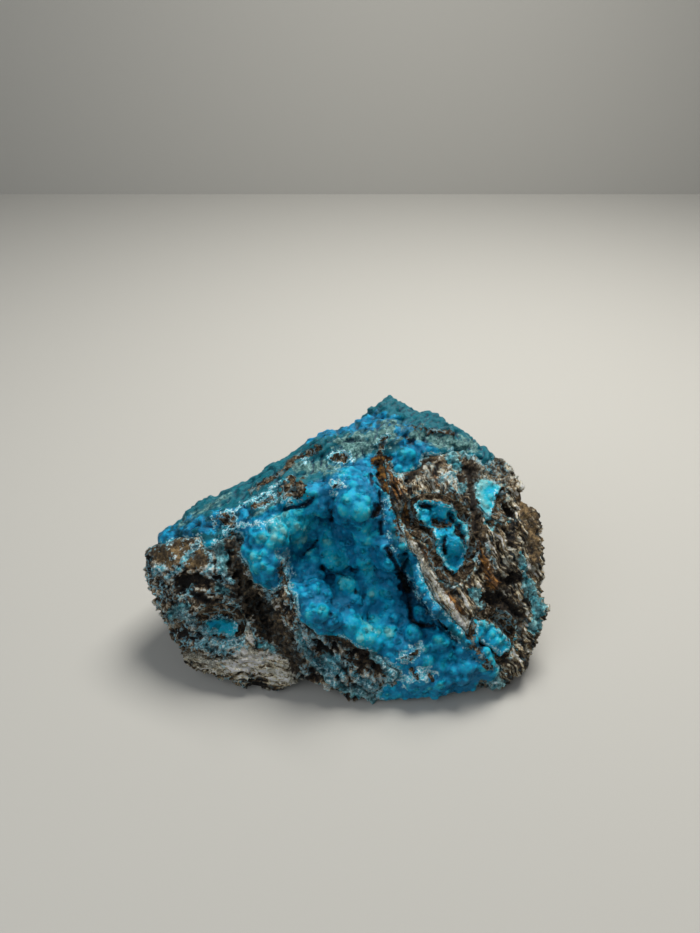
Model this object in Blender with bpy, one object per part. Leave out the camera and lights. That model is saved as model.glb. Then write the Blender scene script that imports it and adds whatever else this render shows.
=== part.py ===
"""Hemimorphite specimen: a hand-sized lump of brown limonite with a blue botryoidal crust.

Run with: blender --background --python part.py

The limonite matrix is one solid. Hemimorphite lines its hollows and coats its upper slope, and each
patch of that crust is a solid of its own, in a bed cut for it in the matrix.

The lump is laid out square-on to its broken face, in millimetres: x runs across the face, y up it
and z out of it. It is then leaned back to the way it rests, on a flat facet at z = 0, with the
origin below its middle. A number that ends a line of places is a radius or a depth in millimetres.
"""

import math

import bmesh
import bpy
from mathutils import Matrix, Vector, noise
from mathutils.bvhtree import BVHTree

MM = 0.001

# How the lump rests.
FACE_LEAN = math.radians(48)
FACE_HEIGHT = 22.0

# The crust.
SLOPE_CRUST = 3.0
POCKET_CRUST = 1.8
BED_GAP = 0.3
CRUST_FOOT = 1.2
CRUST_BACK = -8.0
FACE_FRONT = 30.0
GROUND_SIZE = 200.0
EDGE_STEP = 3.0
EDGE_WANDER = 2.0

# The relief of the surface: heights and sizes of crags, layers and globules.
CRAG_HEIGHT = 4.5
CRAG_SIZE = 15.0
CHIP_HEIGHT = 2.2
CHIP_SIZE = 7.0
CHIP_STEP = 0.35
LAYER_HEIGHT = 0.8
LAYER_SPACING = 6.0
LAYER_RUN = Vector((0.85, 0.4, 0.35))
LAYER_WANDER = 1.2
LAYER_WANDER_SIZE = 14.0
BUMP_HEIGHT = 1.2
BUMP_SIZE = 4.6
GLOBULE_SWELL = 1.15
HOLLOW_LUMP = 0.12
HOLLOW_LUMPS = 1.7
EDGE_WANDERS = 0.4

# The finishes.
CRUST_COLOUR = (0.03, 0.31, 0.46)
CRUST_ROUGHNESS = 0.45
MATRIX_COLOUR = (0.09, 0.06, 0.04)
MATRIX_ROUGHNESS = 0.85

# The meshes.
ENVELOPE_VOXEL = 1.3
SURFACE_VOXEL = 1.0
ROCK_TRIANGLES = 5200
CRUST_COARSENESS = 0.7
COARSENESS_SHARE = 0.02

# The outer envelope. The outline runs round the face from its left tip.
OUTLINE = (
    (-51, -4, 3), (-48, 1.5, 4), (-45, 3.5, 4), (-37, 11.5, 3), (-21.5, 20, 2), (-15, 24.5, 1),
    (-8, 29.5, 0), (-0.5, 32, -1), (7, 37, -4), (13.5, 43, -6), (28.5, 34, -3), (31.5, 29, -1),
    (35.5, 26, 0), (40.5, 21.5, 0), (44.5, 17.5, 0), (47, 10.5, 1), (47.5, 2, 2), (48.5, -13.5, 2),
    (44.5, -24, 3), (40.5, -28, 3), (36.5, -31, 3), (19.5, -32.5, 5), (4, -35, 5.5), (-12.5, -30.5, 4),
    (-18, -30, 4), (-30.5, -27, 3), (-38, -26.5, 2.5), (-41, -22, 3), (-43.5, -16, 3.5), (-46.5, -9, 4),
)
FACE_CORNERS = (
    (-34, 4.5, 10), (-25.5, 4.5, 9), (-36, -10, 10), (-35, -22.5, 7), (-6, 25, 5), (1, 12, 11),
    (-12, 14.5, 11), (8, 19, 8), (11.5, 7, 12), (16, -5.5, 14), (23.5, -16.5, 12), (18, 0.5, 14),
    (22, -11, 14), (31, -22.5, 10), (-1.5, -18.5, 11), (5, -27, 9), (27.5, 10.5, 12), (40, 3.5, 7),
    (37.5, -10, 8), (36, -19, 8), (21.5, 24.5, 7),
)
# Corners of the back and the foot, given as the lump rests: x across, y away, z up.
BACK_CORNERS = (
    (14, 37, 30), (0, 36, 18), (-14, 30, 20), (-36, 15, 20), (-41, 6, 16), (30, 32, 26), (43, 20, 20),
    (40, 8, 8), (24, 33, 12), (-30, 18, 8),
)
FOOT_CORNERS = (
    (2, -26, -1), (20, -24, -1), (35, -20, -1), (39, -4, -1), (32, 14, -1), (12, 23, -1),
    (-14, 20, -1), (-31, 8, -1), (-34, -10, -1), (-20, -19, -1),
)

# Hollows: centre, half-widths, and turns about the face's normal and about its upward axis.
BASIN = (
    ((-4, 0, 14), (12.5, 12, 11), 0, 0),
    ((4.5, -7.5, 15), (22, 9.5, 12), -52, 0),
    ((20.5, -25, 13), (13, 7, 8), -38, 0),
)
NOTCH = (
    ((15.5, 25, 9), (7, 6.5, 7.5), 20, 0),
    ((22, 29, 6.5), (7, 3.5, 5), 20, 0),
)
TWIN_POCKET = (
    ((21.5, 8, 13), (6.6, 4.2, 5), -15, 0),
    ((25, 0.5, 13.5), (4.2, 5.2, 5.5), 0, 0),
)
SHOULDER_POCKET = (((37, 14.5, 8.5), (4.5, 5, 3.8), 0, 0),)
CORNER_POCKET = (((35, -18.5, 10), (5.5, 4.5, 4.2), -30, 0),)
CHEEK_POCKET = (((-28.5, -16, 10.5), (4.3, 3, 4), 0, 0),)
BARE_HOLLOWS = (
    ((-23.5, -2, 11.5), (3.2, 8, 5.5), 0, 0),
    ((-17, -15, 11.5), (4.6, 11, 6.5), 22, 0),
    ((-6, -32.5, 1), (9, 5, 7), -12, 0),
)

# Bare patches that bite into the back edge of the main crust.
BARE_BACK = (
    ((-37, 12, -9), (5, 5, 4), 0, 0),
    ((-25, 19, -10), (6, 5, 7), 30, 0),
    ((-9, 27, -9), (5, 4, 4), 30, 0),
    ((3, 33, -11), (6, 6, 6), 20, 0),
    ((24, 37, -12), (7, 6, 5), -30, 0),
)

# Each crust and the hollow that it lines. The main crust lines the basin, the notch and the fissure.
CRUSTS = {
    "main_hemimorphite_crust": None,
    "twin_pocket_crust": TWIN_POCKET,
    "shoulder_pocket_crust": SHOULDER_POCKET,
    "corner_pocket_crust": CORNER_POCKET,
    "cheek_pocket_crust": CHEEK_POCKET,
}

# The fin: its free edge from the tip down, and the width there of the fissure that it overhangs.
# The fissure's section is wide below the fin. Its places are shares of the depth.
FIN_EDGE = (
    (7.5, 27.5, 5, 0.8), (7, 21, 7.5, 1.1), (8, 14, 10, 1.4), (10, 6.5, 12, 1.6), (12.5, 0.5, 13, 2.0),
    (15.5, -6, 14, 2.8), (18.5, -11.5, 13.5, 2.8), (23, -16, 12, 2.0), (28, -21.5, 10, 0.8),
    (33.5, -26.5, 7, 0.5),
)
FIN_REACH = 8.0
FIN_DEPTH = 14.0
FIN_LIP = 2.0
FISSURE_DEPTH = 9.5
FISSURE_TOP = 4.0
FISSURE_WAIST = 0.5
FISSURE_FLOOR = 0.8
FISSURE_HEEL = 0.7
UNDERCUT = 3.2

# Ledges that stand up from the surface and grooves that are sunk in it: places, then a radius.
SLOPE_WELT = (
    (-32.5, 7.5), (-28.5, 8.5), (-23.5, 12), (-18.5, 15), (-15.5, 19), (-12.5, 22.5), (-8.5, 24), (-4.5, 25),
)
LEDGES = (
    (SLOPE_WELT, 1.5),
    (((18.5, 34.5), (23.5, 32.5), (28.5, 32)), 1.7),
    (((14.5, 18), (18, 22.5), (21.5, 24.5), (25, 26)), 1.6),
    (((32, 21), (34, 16.5), (37.5, 8.5), (41, 6)), 1.5),
    (((43, 18), (45, 11), (45.5, 3.5), (46, -2)), 1.5),
)
GROOVES = (
    (((27, 11), (29.5, 3), (31, -4.5), (35.5, -13.5)), 1.8),
    (((16.5, 13.5), (21.5, 14.5), (27, 12)), 1.2),
    (((-40.5, -6), (-36, -6), (-31, -5.5)), 1.6),
    (((-36.5, -2), (-30, -8), (-29, -12.5)), 1.3),
    (((-9.5, -18), (-5.5, -24.5), (-1.5, -30.5)), 1.2),
    (((-3, -17), (2, -21), (6.5, -26)), 1.3),
    (((30, -13.5), (33, -21), (40.5, -24)), 1.3),
    (((27, 17.5), (27.5, 18)), 1.8),
    (((39, 11.5), (40, 11)), 2.2),
)

# The outline of the crust on the face and the upper slope.
CRUST_OUTLINE = (
    (-49, 0.5), (-43, 9.5), (-33, 17.5), (-21, 24), (-10, 31.5), (1, 36), (12.5, 42), (20.5, 38),
    (31.5, 33.5), (37.5, 25.5), (35, 23), (29.5, 26.5), (24, 25.5), (19, 23.5), (15, 19.5), (12, 19),
    (9.5, 25.5), (7, 22), (7.5, 14), (10, 6.5), (12.5, 0.5), (15.5, -6), (18.5, -12), (23, -16.5),
    (28, -22), (33, -26.5), (30, -30.5), (24, -33), (14.5, -34), (7, -32), (9, -29), (12.5, -28),
    (13, -25.5), (8, -23), (1, -18.5), (-5.5, -17), (-9.5, -14), (-11.5, -10), (-13, -5.5), (-17, -7.5),
    (-20.5, -5.5), (-23.5, 0.5), (-24, 6), (-27.5, 4.5), (-31, 1.5), (-33.5, 4.5), (-39.5, 4.5),
    (-44.5, 2.5),
)

# The largest globules of the crust: x, y, radius. Each one sits on what lies below it.
GLOBULES = (
    (-6.5, -1, 2.5), (0.5, -7, 2.7), (-3, 0, 2.2), (0, -1, 1.8), (-1.5, 3, 2.1), (3.5, 6, 2.1),
    (-4.5, 5.5, 1.6), (-11, 9, 2.1), (-6.5, 8, 1.8), (-12, 5.5, 1.8), (1, 7.5, 1.6), (6, -3.5, 1.8),
    (6, -8.5, 1.8), (4, 0.5, 1.7), (0, -11, 2.1), (-5.5, -13.5, 2.8), (0, -14.5, 1.8), (5, -13, 2.1),
    (10, -18, 2.5), (18, -23, 3.4), (21.5, -19.5, 2.4), (25, -24.5, 2.2), (2.5, 12, 4.4),
    (5.5, 15, 2.8), (-1.5, 15.5, 3.4), (-6, 13.5, 2.9), (-9, 15, 2.5), (-20.5, 0.5, 2.9),
    (-19, 3.5, 2.5), (-16, 2, 2.2), (-18, -2.5, 2.7), (-21.5, -2.5, 2.0), (-8.5, -6, 3.2),
    (-9.5, -10.5, 2.7), (-5, -10, 2.5), (9.5, -13, 2.2), (13, -16, 2.1), (9, -7, 2.4), (12, -10, 2.0),
    (27, -26.5, 2.4), (21, -28, 2.8), (17, -28.5, 2.2), (14, -22.5, 2.4), (6.5, 3.5, 1.8),
    (9.5, 0.5, 1.8), (-15.5, 4.5, 1.8), (2.5, -18, 2.0), (6, -20, 2.0), (12.5, 31, 1.7),
    (15.5, 29, 1.8), (10, 29, 2.1), (16, 25, 2.5), (20, 25, 2.0), (11.5, 34.5, 2.1), (24, 29.5, 2.1),
    (7, 31, 2.0), (2.5, 30, 2.1), (5.5, 26.5, 2.4), (1, 25, 2.1), (-3, 28, 2.1), (-6, 26, 2.1),
    (18, 32.5, 1.8),
)
# Globules that hang under the fin: x, y, z, radius.
HANGING_GLOBULES = ((20, -13.5, 3.5, 3.4), (14, -3.5, 4, 2.6))


def to_rest():
    """The matrix that leans the laid-out lump back to the way it rests, in millimetres."""
    return Matrix.Translation((0, 0, FACE_HEIGHT)) @ Matrix.Rotation(FACE_LEAN, 4, "X")


def mesh_of(bm, name):
    """Writes a bmesh to a new mesh and frees it."""
    mesh = bpy.data.meshes.new(name)
    bm.to_mesh(mesh)
    bm.free()
    return mesh


def bmesh_of(mesh):
    """A bmesh read from a mesh."""
    bm = bmesh.new()
    bm.from_mesh(mesh)
    return bm


def applied(carrier, kind, **settings):
    """The mesh that one modifier makes of this object's, which is then removed."""
    modifier = carrier.modifiers.new(kind.lower(), kind)
    for setting, value in settings.items():
        setattr(modifier, setting, value)
    graph = bpy.context.evaluated_depsgraph_get()
    result = bpy.data.meshes.new_from_object(carrier.evaluated_get(graph))
    bpy.data.objects.remove(carrier)
    return result


def modified(mesh, kind, **settings):
    """The mesh that one modifier makes of this mesh."""
    carrier = bpy.data.objects.new("carrier", mesh)
    bpy.context.scene.collection.objects.link(carrier)
    return applied(carrier, kind, **settings)


def fused(meshes, voxel):
    """One closed mesh of even facets, made of several closed meshes that overlap."""
    bm = bmesh.new()
    for mesh in meshes:
        bm.from_mesh(mesh)
    return modified(mesh_of(bm, "fused"), "REMESH", mode="VOXEL", voxel_size=voxel)


def combined(operation, mesh, others):
    """A Boolean of a mesh with several others at once."""
    group = bpy.data.collections.new("operands")
    bpy.context.scene.collection.children.link(group)
    for other in others:
        group.objects.link(bpy.data.objects.new("operand", other))
    result = modified(
        mesh, "BOOLEAN", operation=operation, operand_type="COLLECTION", collection=group, solver="EXACT",
        use_self=True,
    )
    for operand in list(group.objects):
        bpy.data.objects.remove(operand)
    bpy.data.collections.remove(group)
    return result


def hull(points):
    """The convex hull of some points."""
    bm = bmesh.new()
    for point in points:
        bm.verts.new(point)
    bmesh.ops.convex_hull(bm, input=bm.verts)
    bmesh.ops.delete(bm, geom=[v for v in bm.verts if not v.link_faces], context="VERTS")
    return mesh_of(bm, "hull")


def envelope():
    """The hull of all corners."""
    lean = to_rest().inverted()
    corners = [Vector(p) for p in OUTLINE + FACE_CORNERS]
    return hull(corners + [lean @ Vector(p) for p in BACK_CORNERS + FOOT_CORNERS])


def shrunk(mesh, inset):
    """A convex mesh with each of its faces moved in by an inset."""
    bm = bmesh_of(mesh)
    bm.normal_update()
    planes = [(face.calc_center_median() - face.normal * inset, face.normal.copy()) for face in bm.faces]
    bm.clear()
    bmesh.ops.create_cube(bm, size=GROUND_SIZE)
    for place, normal in planes:
        everything = bm.verts[:] + bm.edges[:] + bm.faces[:]
        cut = bmesh.ops.bisect_plane(bm, geom=everything, plane_co=place, plane_no=normal, clear_outer=True)
        rim = [part for part in cut["geom_cut"] if isinstance(part, bmesh.types.BMEdge)]
        if rim:
            bmesh.ops.edgeloop_fill(bm, edges=rim)
    bmesh.ops.recalc_face_normals(bm, faces=bm.faces)
    return mesh_of(bm, "shrunk")


def hollow(centre, half_widths, turn, swing, grow, rings):
    """A lumpy ellipsoid that cuts one hollow, or the larger one that is its crust's back."""
    bm = bmesh.new()
    bmesh.ops.create_icosphere(bm, subdivisions=rings, radius=1)
    for v in bm.verts:
        lump = 1 + HOLLOW_LUMP * noise.noise(v.co * HOLLOW_LUMPS + Vector(centre))
        v.co = Vector(v.co[i] * (half_widths[i] * lump + grow) for i in range(3))
    placed = Matrix.Translation(centre) @ Matrix.Rotation(math.radians(turn), 4, "Z")
    placed @= Matrix.Rotation(math.radians(swing), 4, "Y")
    bmesh.ops.transform(bm, matrix=placed, verts=bm.verts)
    return mesh_of(bm, "hollow")


def hollows(groups, grow=0.0, rings=3):
    """The cutters of several groups of hollows."""
    return [hollow(*shape, grow, rings) for group in groups for shape in group]


def fin_frames(reach=0.0):
    """Each point of the fin's edge, the way from there into the fin, and the fissure's width."""
    edges = [Vector(point[:3]) for point in FIN_EDGE]
    frames = []
    for i, edge in enumerate(edges):
        along = (edges[min(i + 1, len(edges) - 1)] - edges[max(i - 1, 0)]).normalized()
        across = Vector((-along.y, along.x, 0)).normalized()
        ends = (i == len(edges) - 1) - (i == 0)
        frames.append((edge + along * reach * ends, across, FIN_EDGE[i][3]))
    return frames


def swept(rings):
    """A closed solid that runs through rings of as many points each."""
    bm = bmesh.new()
    loops = [[bm.verts.new(point) for point in ring] for ring in rings]
    count = len(loops[0])
    for here, there in zip(loops, loops[1:]):
        for i in range(count):
            j = (i + 1) % count
            bm.faces.new((here[i], here[j], there[j]))
            bm.faces.new((here[i], there[j], there[i]))
    for cap in (loops[0], loops[-1]):
        bm.faces.new(cap)
    bmesh.ops.triangulate(bm, faces=[face for face in bm.faces if len(face.verts) > 3])
    bmesh.ops.recalc_face_normals(bm, faces=bm.faces)
    return mesh_of(bm, "swept")


def fin():
    """The fin, a wedge that thins out to its free edge."""
    section = ((0, 0), (FIN_REACH, 0), (FIN_REACH, -FIN_DEPTH), (FIN_LIP / 2, -FIN_LIP))
    return swept([
        [edge + across * u + Vector((0, 0, w)) for u, w in section] for edge, across, _ in fin_frames()
    ])


def fissure(grow=0.0):
    """The cutter of the fissure under the fin, or of the larger one that is its crust's back."""
    rings = []
    for edge, across, width in fin_frames(grow):
        under = UNDERCUT * width / 2 + grow
        section = (
            (-width - grow, FISSURE_TOP), (grow, FISSURE_TOP), (grow, 0),
            (under, -FISSURE_WAIST * FISSURE_DEPTH), (under, -FISSURE_FLOOR * FISSURE_DEPTH),
            (0, -FISSURE_DEPTH - grow), (-width - grow, -FISSURE_HEEL * FISSURE_DEPTH),
        )
        rings.append([edge + across * u + Vector((0, 0, w)) for u, w in section])
    return swept(rings)


def globule(centre, radius, rings=2):
    """One round globule."""
    bm = bmesh.new()
    bmesh.ops.create_icosphere(bm, subdivisions=rings, radius=radius, matrix=Matrix.Translation(centre))
    return mesh_of(bm, "globule")


def drop(tree, x, y):
    """The point of the surface below a place on the face."""
    return tree.ray_cast(Vector((x, y, FACE_FRONT)), Vector((0, 0, -1)))[0]


def tree_of(mesh):
    """A tree for casting rays at a mesh."""
    bm = bmesh_of(mesh)
    tree = BVHTree.FromBMesh(bm)
    bm.free()
    return tree


def ropes(lines, base):
    """Round links that run along lines on the base's surface, half sunk in it."""
    tree = tree_of(base)
    links = []
    for places, radius in lines:
        points = [drop(tree, x, y) for x, y in places]
        for start, end in zip(points, points[1:]):
            balls = [bmesh_of(globule(centre, radius, 1)) for centre in (start, end)]
            links.append(hull(v.co for ball in balls for v in ball.verts))
            for ball in balls:
                ball.free()
    return links


def globules(base):
    """All large globules, half sunk in the surface that lies below them."""
    tree = tree_of(base)
    made = [globule((x, y, z), radius) for x, y, z, radius in HANGING_GLOBULES]
    for x, y, radius in GLOBULES:
        made.append(globule(drop(tree, x, y), radius * GLOBULE_SWELL))
    return made


def neighbours(points):
    """Each point of a ring with those before and after it."""
    return zip(points[-1:] + points[:-1], points, points[1:] + points[:1])


def wavy_outline():
    """The crust's outline with a wandering edge."""
    corners = [Vector(p) for p in CRUST_OUTLINE]
    points = []
    for start, end in zip(corners, corners[1:] + corners[:1]):
        steps = max(1, round((end - start).length / EDGE_STEP))
        points += [start.lerp(end, i / steps) for i in range(steps)]
    wandered = []
    for before, here, after in neighbours(points):
        along = (after - before).normalized()
        wander = EDGE_WANDER * noise.noise((here.x * EDGE_WANDERS, here.y * EDGE_WANDERS, EDGE_STEP))
        wandered.append(here + Vector((-along.y, along.x)) * wander)
    return wandered


def widened(points, grow):
    """A ring of points moved outwards, so that each side ends up grow away from where it was."""
    ring = []
    for before, here, after in neighbours(points):
        arriving, leaving = (here - before).normalized(), (after - here).normalized()
        sides = Vector((-arriving.y, arriving.x)) + Vector((-leaving.y, leaving.x))
        ring.append(here + sides * grow / (1 + arriving.dot(leaving)))
    return ring


def crust_column(grow):
    """A column through the face, as wide as the crust, with bites out of its back edge."""
    bm = bmesh.new()
    cap = bm.faces.new([bm.verts.new((x, y, CRUST_BACK - grow)) for x, y in widened(wavy_outline(), grow)])
    raised = bmesh.ops.extrude_face_region(bm, geom=[cap])["geom"]
    for v in raised:
        if isinstance(v, bmesh.types.BMVert):
            v.co.z = FACE_FRONT
    bmesh.ops.triangulate(bm, faces=bm.faces)
    bmesh.ops.recalc_face_normals(bm, faces=bm.faces)
    return combined("DIFFERENCE", mesh_of(bm, "column"), hollows((BARE_BACK,), -grow, 2))


def slope_zone(grow=0.0):
    """The space of the main crust: a skin over the slope and the basin, and the fissure's walls."""
    back = SLOPE_CRUST + grow
    core = combined("DIFFERENCE", shrunk(envelope(), back), hollows((BASIN, NOTCH), back, 2))
    skin = combined("DIFFERENCE", crust_column(grow), [core])
    lined = combined("UNION", skin, [fissure(POCKET_CRUST + grow)])
    return combined("DIFFERENCE", lined, [ground(CRUST_FOOT - grow)])


def pocket_zone(pocket, grow=0.0):
    """The space of one pocket's crust."""
    parts = hollows((pocket,), POCKET_CRUST + grow, 2)
    return combined("UNION", parts[0], parts[1:]) if len(parts) > 1 else parts[0]


def on_crust(point, outline):
    """Whether a point of the surface lies in the crust's outline."""
    inside = False
    for start, end in zip(outline, outline[1:] + outline[:1]):
        if (start.y > point.y) != (end.y > point.y):
            crossing = start.x + (point.y - start.y) * (end.x - start.x) / (end.y - start.y)
            inside = inside != (point.x < crossing)
    return inside and point.z > CRUST_BACK


def fracture(point, height, size):
    """How far a broken surface stands out: flat chips, each tilted its own way."""
    place = point / size
    cell = noise.voronoi(place)[1][0]
    tilt = Vector(noise.noise(cell * 3.1 + Vector((0, 0, 17 * axis))) for axis in range(3))
    return height * (tilt.dot(place - cell) + CHIP_STEP * noise.noise(cell * 5.3))


def crags(point):
    """How far broken limonite stands out: crags, chips, and layers that run along the fin."""
    wander = LAYER_WANDER * noise.noise(point / LAYER_WANDER_SIZE)
    phase = point.dot(LAYER_RUN) / LAYER_SPACING + wander
    layer = abs(phase % 1 - 0.5) * 2 - 0.5
    broken = fracture(point, CRAG_HEIGHT, CRAG_SIZE) + fracture(point, CHIP_HEIGHT, CHIP_SIZE)
    return broken + LAYER_HEIGHT * layer


def bumps(point):
    """How far the crust stands out: close-set round lumps."""
    distance = noise.voronoi(point / BUMP_SIZE)[0][0]
    return BUMP_HEIGHT * (0.5 - distance)


def roughened(mesh):
    """The lump with its relief."""
    outline = wavy_outline()
    bm = bmesh_of(mesh)
    bm.normal_update()
    moves = []
    for v in bm.verts:
        relief = bumps(v.co) if on_crust(v.co, outline) else crags(v.co)
        moves.append(v.normal * relief)
    for v, move in zip(bm.verts, moves):
        v.co += move
    return mesh_of(bm, "roughened")


def thinned(mesh, triangles):
    """The mesh with only so many triangles, most of them on the crust and where it bends."""
    bm = bmesh_of(mesh)
    bmesh.ops.triangulate(bm, faces=bm.faces)
    whole = mesh_of(bm, "whole")
    carrier = bpy.data.objects.new("carrier", whole)
    bpy.context.scene.collection.objects.link(carrier)
    group = carrier.vertex_groups.new(name="coarse")
    outline = wavy_outline()
    for v in whole.vertices:
        coarseness = CRUST_COARSENESS if on_crust(v.co, outline) else 1.0
        group.add([v.index], coarseness, "REPLACE")
    return applied(
        carrier, "DECIMATE", ratio=triangles / len(whole.polygons), vertex_group=group.name,
        vertex_group_factor=COARSENESS_SHARE,
    )


def ground(height):
    """A block whose level top is at a height as the lump rests."""
    bm = bmesh.new()
    block = Matrix.Translation((0, 0, height - GROUND_SIZE / 2)) @ Matrix.Scale(GROUND_SIZE, 4)
    bmesh.ops.create_cube(bm, size=1, matrix=to_rest().inverted() @ block)
    return mesh_of(bm, "ground")


def largest(mesh):
    """The largest body of a mesh, without its crumbs."""
    bm = bmesh_of(mesh)
    left, bodies = set(bm.verts), []
    while left:
        body, front = set(), [left.pop()]
        while front:
            v = front.pop()
            body.add(v)
            for edge in v.link_edges:
                other = edge.other_vert(v)
                if other in left:
                    left.remove(other)
                    front.append(other)
        bodies.append(body)
    keep = max(bodies, key=len)
    bmesh.ops.delete(bm, geom=[v for v in bm.verts if v not in keep], context="VERTS")
    return mesh_of(bm, "largest")


def rock():
    """The whole lump, matrix and crust together."""
    body = fused([envelope()], ENVELOPE_VOXEL)
    pockets = (TWIN_POCKET, SHOULDER_POCKET, CORNER_POCKET, CHEEK_POCKET)
    carved = combined("DIFFERENCE", body, hollows((BASIN, NOTCH, BARE_HOLLOWS) + pockets))
    ledged = fused([carved, fin()] + ropes(LEDGES, carved), ENVELOPE_VOXEL)
    grooved = combined("DIFFERENCE", ledged, [fissure()] + ropes(GROOVES, ledged))
    lumpy = fused([grooved] + globules(grooved), SURFACE_VOXEL)
    rough = fused([roughened(lumpy)], SURFACE_VOXEL)
    return largest(combined("DIFFERENCE", thinned(rough, ROCK_TRIANGLES), [ground(0)]))


def finish(name, colour, roughness):
    """A plain finish."""
    material = bpy.data.materials.new(name)
    material.use_nodes = True
    shader = material.node_tree.nodes["Principled BSDF"]
    shader.inputs["Base Color"].default_value = (*colour, 1)
    shader.inputs["Roughness"].default_value = roughness
    shader.inputs["Metallic"].default_value = 0
    return material


def split(stone):
    """The lump parted into the matrix and its crusts, each crust in a bed with a gap round it."""
    nodes = {}
    for name, pocket in CRUSTS.items():
        zone, bed = (pocket_zone(pocket, grow) if pocket else slope_zone(grow) for grow in (0, BED_GAP))
        nodes[name] = largest(combined("INTERSECT", stone, [zone]))
        stone = combined("DIFFERENCE", stone, [bed])
    nodes["limonite_matrix"] = largest(stone)
    return nodes


def main():
    """Clears the scene and builds the specimen."""
    for obj in list(bpy.data.objects):
        bpy.data.objects.remove(obj)
    nodes = split(rock())
    for mesh in nodes.values():
        mesh.transform(to_rest())
    corners = [v.co for mesh in nodes.values() for v in mesh.vertices]
    low = Vector(min(co[i] for co in corners) for i in range(3))
    high = Vector(max(co[i] for co in corners) for i in range(3))
    to_origin = Matrix.Translation((-(low.x + high.x) / 2, -(low.y + high.y) / 2, -low.z))
    crust_finish = finish("hemimorphite", CRUST_COLOUR, CRUST_ROUGHNESS)
    matrix_finish = finish("limonite", MATRIX_COLOUR, MATRIX_ROUGHNESS)
    for name, mesh in nodes.items():
        mesh.transform(Matrix.Scale(MM, 4) @ to_origin)
        mesh.materials.clear()
        mesh.materials.append(crust_finish if name in CRUSTS else matrix_finish)
        bpy.context.scene.collection.objects.link(bpy.data.objects.new(name, mesh))


main()
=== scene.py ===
"""Looks of a hemimorphite specimen: brown limonite with a blue botryoidal crust.

The frame's solids give every piece its place and its main shape. The mesh of each solid is copied,
remeshed finely, given the relief of the real surface and dressed in a procedural finish.

Lengths are in millimetres in the face frame, unless a name says otherwise: x runs across the broken
face, y up it and z out of it. A finished piece's mesh is in the row frame, in metres.
"""

import itertools
import logging
import math
import random
from collections.abc import Iterator
from dataclasses import dataclass, field
from enum import Enum

import bmesh
import bpy
import numpy as np
from bpy.types import Material, Mesh, Node, NodeSocket, Object
from mathutils import Matrix, Vector, noise
from mathutils.bvhtree import BVHTree
from mathutils.kdtree import KDTree


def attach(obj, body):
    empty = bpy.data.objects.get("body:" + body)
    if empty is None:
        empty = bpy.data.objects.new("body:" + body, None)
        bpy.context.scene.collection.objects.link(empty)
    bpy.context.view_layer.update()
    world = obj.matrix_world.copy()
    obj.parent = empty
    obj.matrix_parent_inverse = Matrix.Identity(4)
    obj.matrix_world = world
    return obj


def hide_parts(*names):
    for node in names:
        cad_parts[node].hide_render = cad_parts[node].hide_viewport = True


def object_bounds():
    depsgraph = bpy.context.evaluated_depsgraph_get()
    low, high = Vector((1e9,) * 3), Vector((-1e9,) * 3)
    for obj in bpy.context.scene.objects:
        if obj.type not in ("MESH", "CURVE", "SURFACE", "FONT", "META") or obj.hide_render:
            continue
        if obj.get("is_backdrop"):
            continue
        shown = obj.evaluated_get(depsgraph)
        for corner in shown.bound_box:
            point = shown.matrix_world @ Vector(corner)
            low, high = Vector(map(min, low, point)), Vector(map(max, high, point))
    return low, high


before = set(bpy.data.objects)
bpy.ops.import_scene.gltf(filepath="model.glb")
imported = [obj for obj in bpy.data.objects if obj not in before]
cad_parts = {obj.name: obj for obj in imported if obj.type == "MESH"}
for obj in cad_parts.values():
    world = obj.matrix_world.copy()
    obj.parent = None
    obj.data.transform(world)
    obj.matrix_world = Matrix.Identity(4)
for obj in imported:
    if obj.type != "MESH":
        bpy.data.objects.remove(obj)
CAD_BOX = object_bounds()

log = logging.getLogger("specimen")

MM = 0.001
WELD_M = 1e-6

# The face frame, and its ways up and out.
FACE_LEAN = math.radians(48)
FACE_ORIGIN = Vector((0.0, -5.0, 22.0))
FACE_TO_ROW = Matrix.Scale(MM, 4) @ Matrix.Translation(FACE_ORIGIN) @ Matrix.Rotation(FACE_LEAN, 4, "X")
ROW_TO_FACE = FACE_TO_ROW.inverted()
UP = np.array((0, 1, 0))
OUT = np.array((0, 0, 1))

# The noises: how a seed moves each, and the shapes of finer ripples, of layers and of rounded ribs.
RIPPLE_STEP = np.array((7.3, 3.1, 5.7))
CELL_STEP = np.array((2.9, 8.1, 4.3))
FINER_SHARE = 0.55
LAYER_DIP = 0.3
LAYER_BEND_WIDTH = 9.0
LAYER_FULLNESS = 2.2
DOME_FULLNESS = 0.7

# Lengths of the work: soft edges, the skyline, balls, marks on bare rock, rays and globules' places.
SOFT_EDGE = 1.0
SKYLINE_REACH = 13.0
LARGE_BALL_RADIUS = 1.1
MARK_VOXEL = 0.6
MARK_CLEARANCE = 0.7
MARK_INSET = 0.5
RAY_START = 0.3
CROWD_CELL = 5.0
DROP_HEIGHT = 40.0

# How many rays test how open a place lies, and the turn between them in radians.
RAYS = 12
GOLDEN_TURN = 2.39996

Place = tuple[float, float]
Colour = tuple[float, float, float]
Stop = tuple[float, Colour]
Shares = dict[Enum, np.ndarray]


class Tone(Enum):
    """The named tones of the limonite, each one a float attribute of its mesh."""

    TAN = "tan"
    GOLD = "gold"
    CREAM = "cream"
    HOLE_SHADE = "hole_shade"
    TEAL = "teal"
    PALE = "pale"
    RELIEF_SHADE = "crest"
    EARTH = "earth_share"
    LAYERS = "layers"
    PHASE = "phase"


class Bloom(Enum):
    """The named tones of the crust, each one a float attribute of its mesh."""

    OPEN = "open"
    CROWN_LIGHT = "crown"
    CREASE_SHADE = "crease_shade"
    AGE = "age"
    SLOPE = "slope"
    RIM = "rim"
    GOLDEN = "golden_share"
    BROKEN = "broken"
    MOSS = "moss"
    AZURE = "azure"
    CAVE_SHADE = "cave_shade"


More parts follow.
